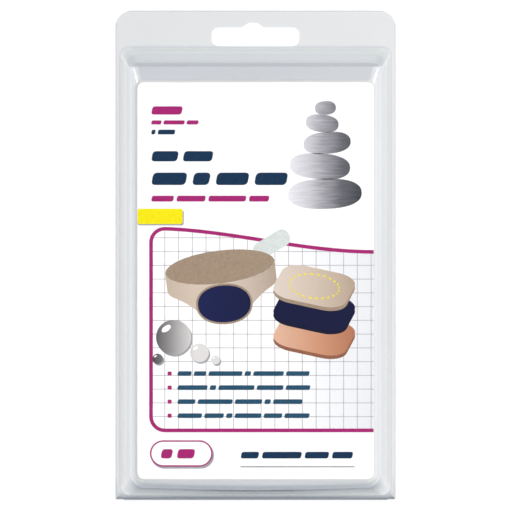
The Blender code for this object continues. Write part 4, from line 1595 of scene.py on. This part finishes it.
def make_hinge(pet):
    """The thin film of the same sheet that joins both halves round the foot edge."""
    hinge_height = (PACK_HIGH[2] + FRONT_LOW[2]) / 2
    foot = PACK_LOW[1]
    half_height = FRONT_LOW[2] + SHEET - hinge_height
    mesh = bmesh.new()
    columns = 40
    steps = 12
    loops = []
    for column in range(columns + 1):
        x = (PACK_WIDTH / 2 - HINGE_END) * (2 * column / columns - 1)
        ring = []
        faces = ((HINGE_BULGE, range(steps + 1)), (HINGE_BULGE - HINGE_SHEET, range(steps, -1, -1)))
        for bulge, order in faces:
            for step in order:
                angle = math.pi * (step / steps - 0.5)
                y = foot - bulge * math.cos(angle)
                z = hinge_height + half_height * math.sin(angle)
                ring.append(mesh.verts.new((x, y, z)))
        loops.append(ring)
    skin(mesh, loops)
    mesh.faces.new(loops[0])
    mesh.faces.new(loops[-1])
    bmesh.ops.recalc_face_normals(mesh, faces=mesh.faces)
    film = smooth(add_piece("hinge_film", mesh, pet))
    # Painted shade: the whole film gets the hinge's dark tone
    tone = film.data.attributes.new(TINT_AND_PAINTED_SHADE, "FLOAT", "POINT")
    for place in tone.data:
        place.value = HINGE_PAINTED_SHADE
    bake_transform(film)


make_hinge(CLEAR_PET)

# Stage, lights and camera


def make_stage():
    """A plain white light table that reaches well past the picture."""
    mesh = bmesh.new()
    bmesh.ops.create_grid(mesh, x_segments=1, y_segments=1, size=3.0)
    floor = add_piece("floor", mesh, opal_table_floor())
    floor.location.z = -0.0002


def softbox(name, place, size, power, mirrored=True, only_mirrored=False):
    """A soft light at a place, turned to the pack. Gloss may leave it out, or be all that shows it."""
    lamp = bpy.data.lights.new(name, "AREA")
    lamp.shape = "RECTANGLE"
    lamp.size, lamp.size_y = size
    lamp.energy = power
    light = bpy.data.objects.new(name, lamp)
    light.location = place
    light.visible_camera = False
    light.visible_glossy = mirrored
    light.visible_diffuse = not only_mirrored
    light.rotation_euler = (Vector((0, 0, 0)) - Vector(place)).to_track_quat("-Z", "Y").to_euler()
    bpy.context.collection.objects.link(light)


def make_lights():
    """Soft studio light: a key overhead and a little to the right, a softbox on each side, two small lights
    that the bends at the upper corners mirror as glints, and a pale room."""
    softbox("key", (0.05, 0.0, 1.5), (0.14, 0.14), 22.0, mirrored=False)
    softbox("left_box", (-1.1, 0.0, 0.9), (0.9, 1.6), 4.0)
    softbox("right_box", (1.1, 0.0, 0.9), (0.9, 1.6), 4.0)
    softbox("left_glint", (-1.0, 0.75, 1.15), (0.4, 0.4), 6.0, only_mirrored=True)
    softbox("right_glint", (1.0, 0.75, 1.15), (0.4, 0.4), 6.0, only_mirrored=True)
    world = bpy.data.worlds.new("pale_room")
    world.use_nodes = True
    world.node_tree.nodes["Background"].inputs["Color"].default_value = linear("#F2F4F6")
    world.node_tree.nodes["Background"].inputs["Strength"].default_value = 0.16
    bpy.context.scene.world = world


def make_camera():
    """Straight above the pack's flange, as far off as makes the picture's scale."""
    data = bpy.data.cameras.new("camera")
    data.sensor_width = CAMERA_SENSOR
    data.lens = CAMERA_SENSOR * CAMERA_DISTANCE / PICTURE_WIDTH
    data.clip_start = 0.01
    data.clip_end = 20.0
    camera = bpy.data.objects.new("camera", data)
    camera.location = (*CAMERA_SHIFT, PACK_HIGH[2] + CAMERA_DISTANCE)
    bpy.context.collection.objects.link(camera)
    bpy.context.scene.camera = camera


make_stage()
make_lights()
make_camera()
bpy.context.scene.view_settings.view_transform = "Standard"
# A ray may cross both faces of the front, the tray, and their walls
bpy.context.scene.cycles.transparent_max_bounces = 24
